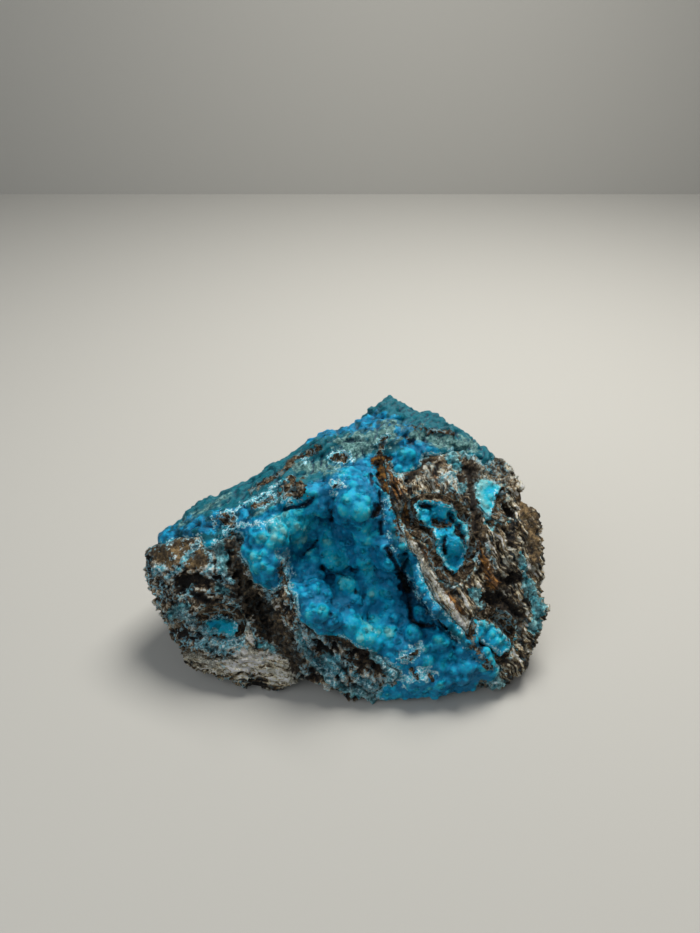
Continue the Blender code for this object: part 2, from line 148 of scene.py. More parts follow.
def ease(values: np.ndarray, low: float, high: float) -> np.ndarray:
    """A smooth step of values from 0 at low to 1 at high."""
    share = np.clip((values - low) / (high - low), 0, 1)
    return share * share * (3 - 2 * share)


def ripple(points: np.ndarray, size: float, seed: float = 0.0) -> np.ndarray:
    """Smooth noise of the points.

    Args:
        points: Places, one a row.
        size: The width of one ripple.
        seed: Which of many such noises.

    Returns:
        A value from about -1 to 1 for each point.
    """
    shifted = points / size + RIPPLE_STEP * seed
    return np.array([noise.noise(place) for place in shifted.tolist()])


def fractal(points: np.ndarray, size: float, octaves: int = 4, seed: float = 0.0) -> np.ndarray:
    """Noise with ever finer ripples.

    Args:
        points: Places, one a row.
        size: The width of the widest ripples.
        octaves: How many widths there are, each half the one before.
        seed: Which of many such noises.

    Returns:
        A value from about -1 to 1 for each point.
    """
    total = np.zeros(len(points))
    for octave in range(octaves):
        total += FINER_SHARE**octave * ripple(points, size / 2**octave, seed + octave)
    return total


def cells(points: np.ndarray, size: float, seed: float = 0.0) -> np.ndarray:
    """How far each point lies from the middle of its round cell.

    Args:
        points: Places, one a row.
        size: The width of one cell.
        seed: Which of many such patterns.

    Returns:
        The distances, as shares of size.
    """
    shifted = points / size + CELL_STEP * seed
    return np.array([noise.voronoi(place)[0][0] for place in shifted.tolist()])


def strata(points: np.ndarray, across: Place, spacing: float, wander: float, seed: float) -> np.ndarray:
    """Layers seen on edge.

    Args:
        points: Places, one a row.
        across: The direction on the face across the layers.
        spacing: The thickness of one layer.
        wander: How far the layers wander, as a share of spacing.
        seed: Which of many such patterns.

    Returns:
        0 in the seam beside a layer to 1 on its crest, for each point.
    """
    phase = (points[:, 0] * across[0] + points[:, 1] * across[1] + points[:, 2] * LAYER_DIP) / spacing
    phase = phase + wander * fractal(points, LAYER_BEND_WIDTH, 3, seed)
    crest = np.abs((phase % 1) * 2 - 1)
    return 1 - crest**LAYER_FULLNESS


def line_distance(points: np.ndarray, places: tuple[Place, ...]) -> np.ndarray:
    """How far points lie from a line through places, seen square-on to the face.

    Args:
        points: Places, one a row.
        places: The places that the line runs through.

    Returns:
        The distance of each point.
    """
    flat = points[:, :2]
    nearest = np.full(len(points), np.inf)
    for start, end in itertools.pairwise(places):
        start, run = np.array(start), np.array(end) - np.array(start)
        along = np.clip((flat - start) @ run / (run @ run), 0, 1)
        nearest = np.minimum(nearest, np.linalg.norm(flat - start - along[:, None] * run, axis=1))
    return nearest


@dataclass(frozen=True)
class Stroke:
    """A streak on the face: the places that it runs through, its half-width and its strength."""

    places: tuple[Place, ...]
    half_width: float
    strength: float

    def distance(self, points: np.ndarray) -> np.ndarray:
        """How far each point lies from the streak's line."""
        return line_distance(points, self.places)

    def share(self, points: np.ndarray, ragged: np.ndarray) -> np.ndarray:
        """How far each point belongs to the streak, whose edge is moved by a ragged value."""
        inside = self.half_width * (1 + ragged) - self.distance(points)
        return self.strength * np.clip(0.5 + inside / (2 * SOFT_EDGE), 0, 1)


def streaks(*rows: tuple) -> tuple[Stroke, ...]:
    """Streaks on the face, whose rows hold a half-width, a strength and two or more places."""
    return tuple(Stroke(tuple(places), half_width, strength) for half_width, strength, *places in rows)


@dataclass(frozen=True)
class Outline:
    """A closed line on the face."""

    places: tuple[Place, ...]

    def inside(self, points: np.ndarray) -> np.ndarray:
        """How far points lie inside the line.

        Args:
            points: Places, one a row.

        Returns:
            The distance of each point from the line, less than 0 outside it.
        """
        loop = (*self.places, self.places[0])
        within = np.zeros(len(points), dtype=bool)
        for (ax, ay), (bx, by) in itertools.pairwise(loop):
            if ay != by:
                crosses = (points[:, 1] < ay) != (points[:, 1] < by)
                within ^= crosses & (points[:, 0] < ax + (bx - ax) * (points[:, 1] - ay) / (by - ay))
        far = line_distance(points, loop)
        return np.where(within, far, -far)


def domes(strokes: tuple[Stroke, ...], points: np.ndarray) -> np.ndarray:
    """Rounded ribs along strokes.

    Args:
        strokes: The ribs; the strength of each is its height.
        points: Places, one a row.

    Returns:
        The height of the highest rib at each point.
    """
    heights = np.zeros(len(points))
    for stroke in strokes:
        across = np.clip(1 - (stroke.distance(points) / stroke.half_width) ** 2, 0, 1)
        heights = np.maximum(heights, stroke.strength * across**DOME_FULLNESS)
    return heights


def painted(strokes: tuple[Stroke, ...], points: np.ndarray, ragged: np.ndarray) -> np.ndarray:
    """The strongest share of any of the strokes, for each point."""
    return np.max([stroke.share(points, ragged) for stroke in strokes], axis=0)


@dataclass(frozen=True)
class Skyline:
    """The crooked top edge that weather has left: places across, the solid's height and the drop there."""

    marks: tuple[tuple[float, float, float], ...]

    def lowered(self, points: np.ndarray) -> np.ndarray:
        """Lowers places to the skyline, less and less below it.

        Args:
            points: Places, one a row.

        Returns:
            The lowered places.
        """
        across, height, drop = np.array(self.marks).T
        top = np.interp(points[:, 0], across, height)
        fall = np.interp(points[:, 0], across, drop, 0, 0)
        share = np.clip(1 - (top - points[:, 1]) / SKYLINE_REACH, 0, 1)
        return points - (fall * share)[:, None] * UP


# Places across the face, the height of the solid's top edge there and how far the real one lies lower.
SKYLINE = Skyline((
    (-34, 12.5, 0), (-29, 15.5, 0.9), (-26, 17.5, 1.6), (-21.5, 20.5, 1.9), (-18.5, 22.3, 1),
    (-14, 25, 1.6), (-11, 26.8, 1.2), (-7.5, 29, 0), (-3.5, 31.5, 1.4), (0.5, 34.2, 3.2), (3.5, 35.6, 3),
    (6.5, 36.8, 2.2), (9, 37.8, 0.7), (11.5, 38.8, 0), (13.5, 38.5, 1.9), (17.5, 37.2, 3.1),
    (20, 35.5, 2.2), (24.5, 33.8, 1.3), (27, 32, 2.4), (31, 28, 1.7), (34, 25, 1.5), (38, 20, 0),
))


def linked(name: str, data: bpy.types.ID) -> Object:
    """Puts a new object into the scene.

    Args:
        name: The object's name.
        data: Its mesh, light or camera.

    Returns:
        The object.
    """
    thing = bpy.data.objects.new(name, data)
    bpy.context.scene.collection.objects.link(thing)
    return thing


def meshed(bm: bmesh.types.BMesh, name: str) -> Mesh:
    """Makes a mesh of a bmesh, which is freed.

    Args:
        bm: The bmesh.
        name: The mesh's name.

    Returns:
        The mesh.
    """
    mesh = bpy.data.meshes.new(name)
    bm.to_mesh(mesh)
    bm.free()
    return mesh


def surface_tree(*meshes: Mesh) -> BVHTree:
    """Makes a tree for finding places on surfaces.

    Args:
        meshes: The surfaces.

    Returns:
        The tree.
    """
    bm = bmesh.new()
    for mesh in meshes:
        bm.from_mesh(mesh)
    tree = BVHTree.FromBMesh(bm)
    bm.free()
    return tree


def mark_tree(marks: list[Vector]) -> KDTree:
    """Makes a tree for finding the nearest of some marks.

    Args:
        marks: The marks.

    Returns:
        The tree, which knows each by its number.
    """
    tree = KDTree(len(marks))
    for i, mark in enumerate(marks):
        tree.insert(mark, i)
    tree.balance()
    return tree


def carried(points: np.ndarray, matrix: Matrix) -> np.ndarray:
    """Places after a change of frame."""
    return points @ np.array(matrix.to_3x3()).T + np.array(matrix.translation)


def distances(points: np.ndarray, tree: BVHTree, most: float) -> np.ndarray:
    """How far each point lies from a tree's mesh, up to a most."""
    found = (tree.find_nearest(place, most)[3] for place in points.tolist())
    return np.array([most if far is None else far for far in found])


class Workpiece:
    """A closed mesh in the face frame, while it is worked on."""

    def __init__(self, mesh: Mesh) -> None:
        """Takes over a mesh."""
        self.mesh = mesh

    @classmethod
    def of_node(cls, node: str) -> "Workpiece":
        """Copies a CAD node's mesh, merges it and lowers it to the skyline.

        Args:
            node: The node's name.

        Returns:
            The copy.
        """
        bm = bmesh.new()
        bm.from_mesh(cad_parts[node].data)
        bmesh.ops.remove_doubles(bm, verts=bm.verts, dist=WELD_M)
        bmesh.ops.transform(bm, matrix=ROW_TO_FACE, verts=bm.verts)
        work = cls(meshed(bm, node))
        work.place(SKYLINE.lowered(work.points()))
        return work

    def modify(self, kind: str, **settings: object) -> None:
        """Applies one modifier.

        Args:
            kind: The modifier's type.
            settings: Its settings.
        """
        carrier = linked("carrier", self.mesh)
        modifier = carrier.modifiers.new(kind, kind)
        for setting, value in settings.items():
            setattr(modifier, setting, value)
        graph = bpy.context.evaluated_depsgraph_get()
        self.mesh = bpy.data.meshes.new_from_object(carrier.evaluated_get(graph))
        bpy.data.objects.remove(carrier)

    def remesh(self, voxel: float) -> None:
        """Makes the mesh anew in even facets, with what overlaps in it fused."""
        self.modify("REMESH", mode="VOXEL", voxel_size=voxel)

    def smooth(self, turns: int) -> None:
        """Smooths the mesh so many times."""
        self.modify("SMOOTH", factor=0.5, iterations=turns)

    def add_balls(self, balls: list["Globule"]) -> None:
        """Adds closed balls to the mesh.

        Args:
            balls: The balls.
        """
        small, large = self.unit_ball(subdivisions=2), self.unit_ball(subdivisions=4)
        bm = bmesh.new()
        bm.from_mesh(self.mesh)
        for ball in balls:
            shape = large if ball.radius > LARGE_BALL_RADIUS else small
            place = Matrix.Translation(ball.centre) @ Matrix.Scale(ball.radius, 4)
            shape.transform(place)
            bm.from_mesh(shape)
            shape.transform(place.inverted())
        bm.to_mesh(self.mesh)
        bm.free()

    @staticmethod
    def unit_ball(subdivisions: int) -> Mesh:
        """Makes a ball of radius 1.

        Args:
            subdivisions: How finely it is faceted.

        Returns:
            Its mesh.
        """
        bm = bmesh.new()
        bmesh.ops.create_icosphere(bm, subdivisions=subdivisions, radius=1)
        return meshed(bm, "ball")

    def refine(self, wanted: np.ndarray) -> None:
        """Halves the edges whose both ends are wanted.

        Args:
            wanted: Which vertices are wanted.
        """
        bm = bmesh.new()
        bm.from_mesh(self.mesh)
        edges = [e for e in bm.edges if wanted[e.verts[0].index] and wanted[e.verts[1].index]]
        bmesh.ops.subdivide_edges(bm, edges=edges, cuts=1, use_grid_fill=True)
        bmesh.ops.triangulate(bm, faces=[f for f in bm.faces if len(f.verts) > 4])
        bm.to_mesh(self.mesh)
        bm.free()

    def vectors(self, kind: str) -> np.ndarray:
        """Reads a vector of every vertex.

        Args:
            kind: Which vector.

        Returns:
            The vectors, one a row.
        """
        flat = np.empty(len(self.mesh.vertices) * 3)
        self.mesh.vertices.foreach_get(kind, flat)
        return flat.reshape(-1, 3)

    def points(self) -> np.ndarray:
        """The places of all vertices, one a row."""
        return self.vectors("co")

    def normals(self) -> np.ndarray:
        """The outward normals of all vertices, one a row."""
        return self.vectors("normal")

    def place(self, points: np.ndarray) -> None:
        """Moves all vertices to new places."""
        self.mesh.vertices.foreach_set("co", points.ravel())
        self.mesh.update()

    def raise_by(self, heights: np.ndarray) -> None:
        """Moves each vertex out along its normal."""
        self.place(self.points() + self.normals() * heights[:, None])

    def hollowness(self, turns: int) -> np.ndarray:
        """How deep vertices lie in creases: what smoothing raises them by.

        Args:
            turns: How often the mesh is smoothed.

        Returns:
            The depth of each vertex, less than 0 on a crown.
        """
        points, normals = self.points(), self.normals()
        self.smooth(turns)
        depths = np.einsum("ij,ij->i", self.points() - points, normals)
        self.place(points)
        return depths

    def note(self, tone: Enum, values: np.ndarray) -> None:
        """Keeps a tone's value at each vertex as an attribute."""
        kept = self.mesh.attributes.new(tone.value, "FLOAT", "POINT")
        kept.data.foreach_set("value", values.astype(np.float32))

    def contain(self) -> None:
        """Presses what reaches out of the CAD solids' box back to it."""
        row = np.clip(carried(self.points(), FACE_TO_ROW), np.array(CAD_BOX[0]), np.array(CAD_BOX[1]))
        self.place(carried(row, ROW_TO_FACE))

    def finished(self, name: str, material: Material, node: str, slot: str) -> Object:
        """Makes the mesh a piece of the scene.

        Args:
            name: The piece's name.
            material: Its finish.
            node: The CAD node that it replaces.
            slot: A material slot's name, which is not used.

        Returns:
            The piece, at rest in the row frame.
        """
        self.mesh.transform(FACE_TO_ROW)
        self.mesh.name = name
        self.mesh.materials.clear()
        self.mesh.materials.append(material)
        self.mesh.shade_smooth()
        piece = linked(name, self.mesh)
        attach(piece, "root")
        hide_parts(node)
        log.info("%s: %d faces", name, len(self.mesh.polygons))
        return piece


@dataclass(frozen=True)
class Surroundings:
    """The CAD solids' surfaces, and marks all over the rock that lies bare."""

    rock: BVHTree
    crusts: BVHTree
    solids: BVHTree
    bare: KDTree

    @classmethod
    def of_frame(cls, rock_node: str, crust_nodes: list[str]) -> "Surroundings":
        """Reads the frame's solids.

        Args:
            rock_node: The matrix's node.
            crust_nodes: All crusts' nodes.

        Returns:
            The surroundings.
        """
        crusts = cls.joined(crust_nodes)
        dense = Workpiece.of_node(rock_node)
        dense.remesh(MARK_VOXEL)
        spots = [v.co.copy() for v in dense.mesh.vertices]
        bare = mark_tree([spot for spot in spots if crusts.find_nearest(spot, MARK_CLEARANCE)[3] is None])
        return cls(cls.joined([rock_node]), crusts, cls.joined([rock_node, *crust_nodes]), bare)

    @staticmethod
    def joined(nodes: list[str]) -> BVHTree:
        """One tree of several nodes' surfaces."""
        return surface_tree(*(Workpiece.of_node(node).mesh for node in nodes))

    def edge_distances(self, points: np.ndarray) -> np.ndarray:
        """How far each point of a crust lies from where bare rock begins."""
        return np.array([self.bare.find(place)[2] for place in points.tolist()]) - MARK_INSET


def sky_ways(count: int) -> list[Vector]:
    """Spreads ways evenly over the half of space about +Z.

    Args:
        count: How many ways.

    Returns:
        The ways, each of length 1.
    """
    ways = []
    for i in range(count):
        rise = (i + 0.5) / count
        level = math.sqrt(1 - rise * rise)
        turn = i * GOLDEN_TURN
        ways.append(Vector((level * math.cos(turn), level * math.sin(turn), rise)))
    return ways


def openness(points: np.ndarray, normals: np.ndarray, tree: BVHTree, reach: float) -> np.ndarray:
    """How open each place lies.

    Args:
        points: Places on a surface, one a row.
        normals: Their outward normals.
        tree: The surfaces that may stand in the way.
        reach: How far away a thing still shades a place.

    Returns:
        For each place, the share of all directions that are free, from 0 in a crack to 1 on a peak.
    """
    ways = sky_ways(RAYS)
    shares = []
    for place, normal in zip(map(Vector, points.tolist()), map(Vector, normals.tolist())):
        start = place + normal * RAY_START
        turn = Vector((0, 0, 1)).rotation_difference(normal)
        free = sum(tree.ray_cast(start, turn @ way, reach)[0] is None for way in ways)
        shares.append(free / RAYS)
    return np.array(shares)


class Nodes:
    """Builds the node tree of one material, on coordinates in the face frame."""

    def __init__(self, name: str) -> None:
        """Starts a material.

        Args:
            name: The material's name.
        """
        self.material = bpy.data.materials.new(name)
        self.material.use_nodes = True
        self.tree = self.material.node_tree
        self.shader = self.tree.nodes["Principled BSDF"]
        here = self.add("ShaderNodeTexCoord").outputs["Object"]
        lean = Matrix.Rotation(-FACE_LEAN, 3, "X")
        mapping = self.add(
            "ShaderNodeMapping", Vector=here, Scale=(1 / MM,) * 3, Rotation=(-FACE_LEAN, 0, 0),
            Location=-(lean @ FACE_ORIGIN),
        )
        self.place = mapping.outputs[0]

    def add(self, kind: str, **inputs: object) -> Node:
        """Adds a node and fills its inputs.

        Args:
            kind: The node's type.
            inputs: Values or sockets, whose names have _ for a space.

        Returns:
            The node.
        """
        node = self.tree.nodes.new(kind)
        self.fill(node, **inputs)
        return node

    def fill(self, node: Node, **inputs: object) -> None:
        """Sets or links inputs of a node, whose names have _ for a space."""
        for name, value in inputs.items():
            self.join(value, node.inputs[name.replace("_", " ")])

    def join(self, value: object, socket: NodeSocket) -> None:
        """Links a socket to another, or sets its value.

        Args:
            value: The other socket, or the value.
            socket: The socket.
        """
        if isinstance(value, NodeSocket):
            self.tree.links.new(value, socket)
        else:
            socket.default_value = value

    def run(self, kind: str, *values: object, **settings: str) -> NodeSocket:
        """Adds a node that works on values.

        Args:
            kind: The node's type.
            values: What its first inputs are set or linked to.
            settings: The settings that choose how it works.

        Returns:
            Its result.
        """
        node = self.tree.nodes.new(kind)
        for setting, value in settings.items():
            setattr(node, setting, value)
        for value, socket in zip(values, node.inputs):
            self.join(value, socket)
        return node.outputs[0]

    def note(self, tone: Enum) -> NodeSocket:
        """Reads a tone's attribute.

        Args:
            tone: The tone.

        Returns:
            Its value.
        """
        node = self.add("ShaderNodeAttribute")
        node.attribute_name = tone.value
        return node.outputs["Fac"]

    def stretched(self, along: tuple[float, float, float], turn: float) -> NodeSocket:
        """Coordinates scaled along three ways, after a turn on the face in degrees."""
        turned = self.add("ShaderNodeMapping", Vector=self.place, Rotation=(0, 0, math.radians(turn)))
        return self.add("ShaderNodeMapping", Vector=turned.outputs[0], Scale=along).outputs[0]

    def along_layers(self, across: float, along: float) -> NodeSocket:
        """Makes coordinates that follow the layers.

        Args:
            across: How fast they run across the layers.
            along: How fast they run along them.

        Returns:
            The coordinates.
        """
        axes = self.add("ShaderNodeSeparateXYZ", Vector=self.place)
        phase = self.product(self.note(Tone.PHASE), across)
        up, side = (self.product(axes.outputs[i], along) for i in (1, 0))
        return self.run("ShaderNodeCombineXYZ", phase, up, side)

    def noise(
        self, size: float, detail: float = 4, rough: float = 0.55, bend: float = 0.0,
        at: NodeSocket | None = None,
    ) -> NodeSocket:
        """Noise.

        Args:
            size: The width of its widest ripples.
            detail: How many finer ripples lie on them.
            rough: How strong the finer ripples are.
            bend: How far the ripples are bent.
            at: Its coordinates, where they aren't the place on the face.

        Returns:
            Its value, mostly from 0.3 to 0.7.
        """
        node = self.add(
            "ShaderNodeTexNoise", Vector=at or self.place, Scale=1 / size, Detail=detail, Roughness=rough,
            Distortion=bend,
        )
        return node.outputs[0]

    def cells(self, size: float, feature: str = "F1", at: NodeSocket | None = None) -> NodeSocket:
        """Round cells.

        Args:
            size: The width of one cell.
            feature: What is measured in them.
            at: The coordinates, where they aren't the place on the face.

        Returns:
            The distance that is measured.
        """
        node = self.add("ShaderNodeTexVoronoi", Vector=at or self.place, Scale=1 / size)
        node.feature = feature
        return node.outputs["Distance"]

    def ringed(self, size: float, wander: float = 1.6, wall: float = 0.14) -> NodeSocket:
        """Ragged thin walls between cells.

        Args:
            size: The width of one cell.
            wander: How ragged the walls are.
            wall: How thick they are, as a share of size.

        Returns:
            1 on a wall to 0 in a cell.
        """
        clouds = self.add("ShaderNodeTexNoise", Vector=self.place, Scale=1 / size, Detail=6)
        shift = self.times(clouds.outputs["Color"], wander * size)
        moved = self.run("ShaderNodeVectorMath", self.place, shift, operation="ADD")
        return self.band(self.cells(size, "DISTANCE_TO_EDGE", moved), wall, 0.0)

    def total(self, first: object, second: object) -> NodeSocket:
        """The sum of two values."""
        return self.run("ShaderNodeMath", first, second, operation="ADD")

    def product(self, first: object, second: object) -> NodeSocket:
        """The product of two values."""
        return self.run("ShaderNodeMath", first, second, operation="MULTIPLY")

    def greater(self, first: object, second: object) -> NodeSocket:
        """The greater of two values."""
        return self.run("ShaderNodeMath", first, second, operation="MAXIMUM")

    def centred(self, value: object) -> NodeSocket:
        """A noise's value, moved to lie about 0."""
        return self.run("ShaderNodeMath", value, 0.5, operation="SUBTRACT")

    def band(
        self, value: object, low: float, high: float, least: float = 0.0, most: float = 1.0,
    ) -> NodeSocket:
        """A smooth step of a value from a least value at low to a most at high."""
        ends = (low, high, least, most)
        return self.run("ShaderNodeMapRange", value, *ends, interpolation_type="SMOOTHSTEP")

    def ramp(self, value: object, *stops: Stop) -> NodeSocket:
        """Colours along a value.

        Args:
            value: The value.
            stops: Values and the colours there.

        Returns:
            The colour.
        """
        node = self.tree.nodes.new("ShaderNodeValToRGB")
        self.join(value, node.inputs[0])
        elements = node.color_ramp.elements
        while len(elements) < len(stops):
            elements.new(0.5)
        for element, (position, colour) in zip(elements, stops):
            element.position = position
            element.color = (*colour, 1)
        return node.outputs[0]

    def mix(self, share: object, first: object, second: object) -> NodeSocket:
        """Mixes two colours.

        Args:
            share: The second colour's share.
            first: The first colour.
            second: The second.

        Returns:
            The mixed colour.
        """
        node = self.tree.nodes.new("ShaderNodeMix")
        node.data_type = "RGBA"
        self.join(share, node.inputs[0])
        for socket, colour in ((node.inputs[6], first), (node.inputs[7], second)):
            self.join((*colour, 1) if isinstance(colour, tuple) else colour, socket)
        return node.outputs[2]

    def times(self, colour: object, factor: object) -> NodeSocket:
        """Makes a colour darker or lighter.

        Args:
            colour: The colour.
            factor: What its parts are multiplied by.

        Returns:
            The new colour.
        """
        node = self.tree.nodes.new("ShaderNodeVectorMath")
        node.operation = "SCALE"
        self.join(colour, node.inputs[0])
        self.join(factor, node.inputs[3])
        return node.outputs[0]

    def capped(self, colour: object, most: float) -> NodeSocket:
        """A colour whose parts are no more than a value."""
        return self.run("ShaderNodeVectorMath", colour, (most,) * 3, operation="MINIMUM")

    def edge(self, tone: Enum, ragged: object, amount: float, low: float, high: float) -> NodeSocket:
        """The share of a tone whose edge is made ragged.

        Args:
            tone: The tone.
            ragged: A noise.
            amount: How far the noise moves the edge.
            low: The tone's value at which it sets in.
            high: Its value from which it is whole.

        Returns:
            The share, from 0 to 1.
        """
        return self.band(self.total(self.note(tone), self.product(self.centred(ragged), amount)), low, high)

    def bumps(self, *heights: tuple[NodeSocket, float]) -> NodeSocket:
        """Bumps on top of each other.

        Args:
            heights: Each a height and its depth in millimetres, the lowest first.

        Returns:
            The bent normal.
        """
        under = {}
        for height, depth in heights:
            bump = self.add("ShaderNodeBump", Height=height, Distance=depth * MM, **under)
            under = {"Normal": bump.outputs[0]}
        return under["Normal"]

    def finished(self, **inputs: object) -> Material:
        """The material, once the inputs of its shader are filled."""
        self.fill(self.shader, **inputs)
        return self.material


@dataclass(frozen=True)
class Earth:
    """The colours of broken limonite, dark in its pits and paler on its grains."""

    pit: Colour = (0.004, 0.0035, 0.003)
    dark: Colour = (0.026, 0.017, 0.009)
    brown: Colour = (0.095, 0.060, 0.029)
    pale: Colour = (0.31, 0.25, 0.16)
    white: Colour = (0.54, 0.56, 0.49)
    vein: Colour = (0.24, 0.47, 0.55)
    vein_spacing: float = 2.4
    vein_patch: float = 4.0

    def colour(self, nodes: Nodes, size: float, crest: NodeSocket | None = None) -> NodeSocket:
        """The colour of grains.

        Args:
            nodes: The material's nodes.
            size: The width of the widest grains.
            crest: How high the ground stands, if that is known: painted light makes it paler on crests and
                painted shade darker in hollows.

        Returns:
            The colour.
        """
        grain = nodes.noise(size, detail=9, rough=0.8, bend=0.5)
        if crest is not None:
            grain = nodes.total(grain, nodes.product(nodes.centred(crest), 0.35))
        return nodes.ramp(
            grain,
            (0.42, self.pit), (0.47, self.dark), (0.52, self.brown), (0.58, self.pale), (0.64, self.white),
        )

    def veined(self, nodes: Nodes, colour: NodeSocket, most: object) -> NodeSocket:
        """A colour with thin pale veins through some of its patches.

        Args:
            nodes: The material's nodes.
            colour: The colour without veins.
            most: The greatest share of the veins.

        Returns:
            The colour with them.
        """
        patches = nodes.product(nodes.band(nodes.noise(self.vein_patch), 0.45, 0.55), most)
        veins = nodes.band(nodes.ringed(self.vein_spacing), 0.3, 0.75)
        return nodes.mix(nodes.product(veins, patches), colour, self.vein)


@dataclass(frozen=True)
class LimoniteFinish:
    """Rough, earthy limonite with pale veins, cream and golden layers and teal films."""

    earth: Earth = field(default_factory=Earth)
    tan: Colour = (0.18, 0.12, 0.052)
    umber: Colour = (0.040, 0.026, 0.014)
    gold: Colour = (0.26, 0.115, 0.020)
    amber: Colour = (0.090, 0.038, 0.009)
    cream: Colour = (0.88, 0.88, 0.74)
    putty: Colour = (0.52, 0.45, 0.30)
    teal: Colour = (0.02, 0.23, 0.29)
    sea: Colour = (0.24, 0.46, 0.48)
    pale: Colour = (0.45, 0.66, 0.71)
    frost: Colour = (0.06, 0.29, 0.37)
    slate: Colour = (0.10, 0.078, 0.048)
    roughness: float = 0.78
    specular: float = 0.4
    brightest: float = 0.85

    def material(self) -> Material:
        """Makes the material: grains, layers, soil and veins, then films over them, with painted shade in
        holes and low ground and painted light on crests.

        Returns:
            The material.
        """
        nodes = Nodes("limonite")
        pit, umber, tan, putty = self.earth.pit, self.umber, self.tan, self.putty
        crest = nodes.note(Tone.RELIEF_SHADE)
        coarse = nodes.noise(2.6, detail=6, rough=0.68)
        fleck = nodes.noise(0.9, detail=8, rough=0.75, bend=0.6)
        layered = nodes.noise(1.0, detail=6, rough=0.65, bend=0.3, at=nodes.along_layers(1.5, 0.22))
        streaky = nodes.ramp(
            layered, (0.40, pit), (0.46, umber), (0.50, tan), (0.55, putty), (0.62, self.cream),
        )
        soil = nodes.ramp(fleck, (0.38, pit), (0.45, umber), (0.54, self.slate), (0.63, tan))
        colour = self.earth.colour(nodes, 1.7, crest)
        colour = nodes.mix(nodes.edge(Tone.LAYERS, coarse, 1.6, 0.4, 0.7), colour, streaky)
        colour = nodes.mix(nodes.edge(Tone.EARTH, coarse, 1.6, 0.42, 0.62), colour, soil)
        plain = nodes.greater(nodes.note(Tone.LAYERS), nodes.note(Tone.EARTH))
        colour = self.earth.veined(nodes, colour, nodes.band(plain, 0.2, 0.8, 1.0, 0.15))
        films = (
            (Tone.TAN, 1.6, 0.42, 0.6, coarse, ((0.38, umber), (0.5, tan), (0.6, umber), (0.70, putty))),
            (Tone.CREAM, 2.4, 0.45, 0.56, layered, ((0.37, umber), (0.43, putty), (0.53, self.cream))),
            (Tone.GOLD, 3.0, 0.45, 0.58, layered, ((0.45, pit), (0.51, self.amber), (0.58, self.gold))),
            (Tone.TEAL, 2.2, 0.45, 0.58, coarse, ((0.4, self.teal), (0.6, self.sea))),
            (Tone.PALE, 3.2, 0.55, 0.66, fleck, (
                (0.38, pit), (0.44, self.frost), (0.51, self.frost), (0.57, self.pale),
            )),
            # The hole shade: painted shade that darkens the holes nearly to black.
            (Tone.HOLE_SHADE, 2.0, 0.5, 0.7, fleck, ((0.42, pit), (0.54, umber), (0.66, tan))),
        )
        for tone, amount, low, high, grain, stops in films:
            share = nodes.edge(tone, fleck, amount, low, high)
            colour = nodes.mix(share, colour, nodes.ramp(grain, *stops))
        # Painted light on crests and painted shade in low ground, from the relief's height; then random
        # broad and fine brightness.
        shades = (
            (crest, 0.08, 0.55, 0.33, 1.1),
            (nodes.noise(0.8, detail=5, rough=0.7), 0.40, 0.60, 0.5, 1.6),
            (nodes.noise(7.0, detail=5, rough=0.7), 0.38, 0.62, 0.5, 1.45),
        )
        for value, low, high, darkest, lightest in shades:
            colour = nodes.times(colour, nodes.band(value, low, high, darkest, lightest))
        return nodes.finished(
            Base_Color=nodes.capped(colour, self.brightest), Roughness=self.roughness,
            Specular_IOR_Level=self.specular,
            Normal=nodes.bumps((coarse, 1.2), (layered, 0.35), (fleck, 1.0)),
        )


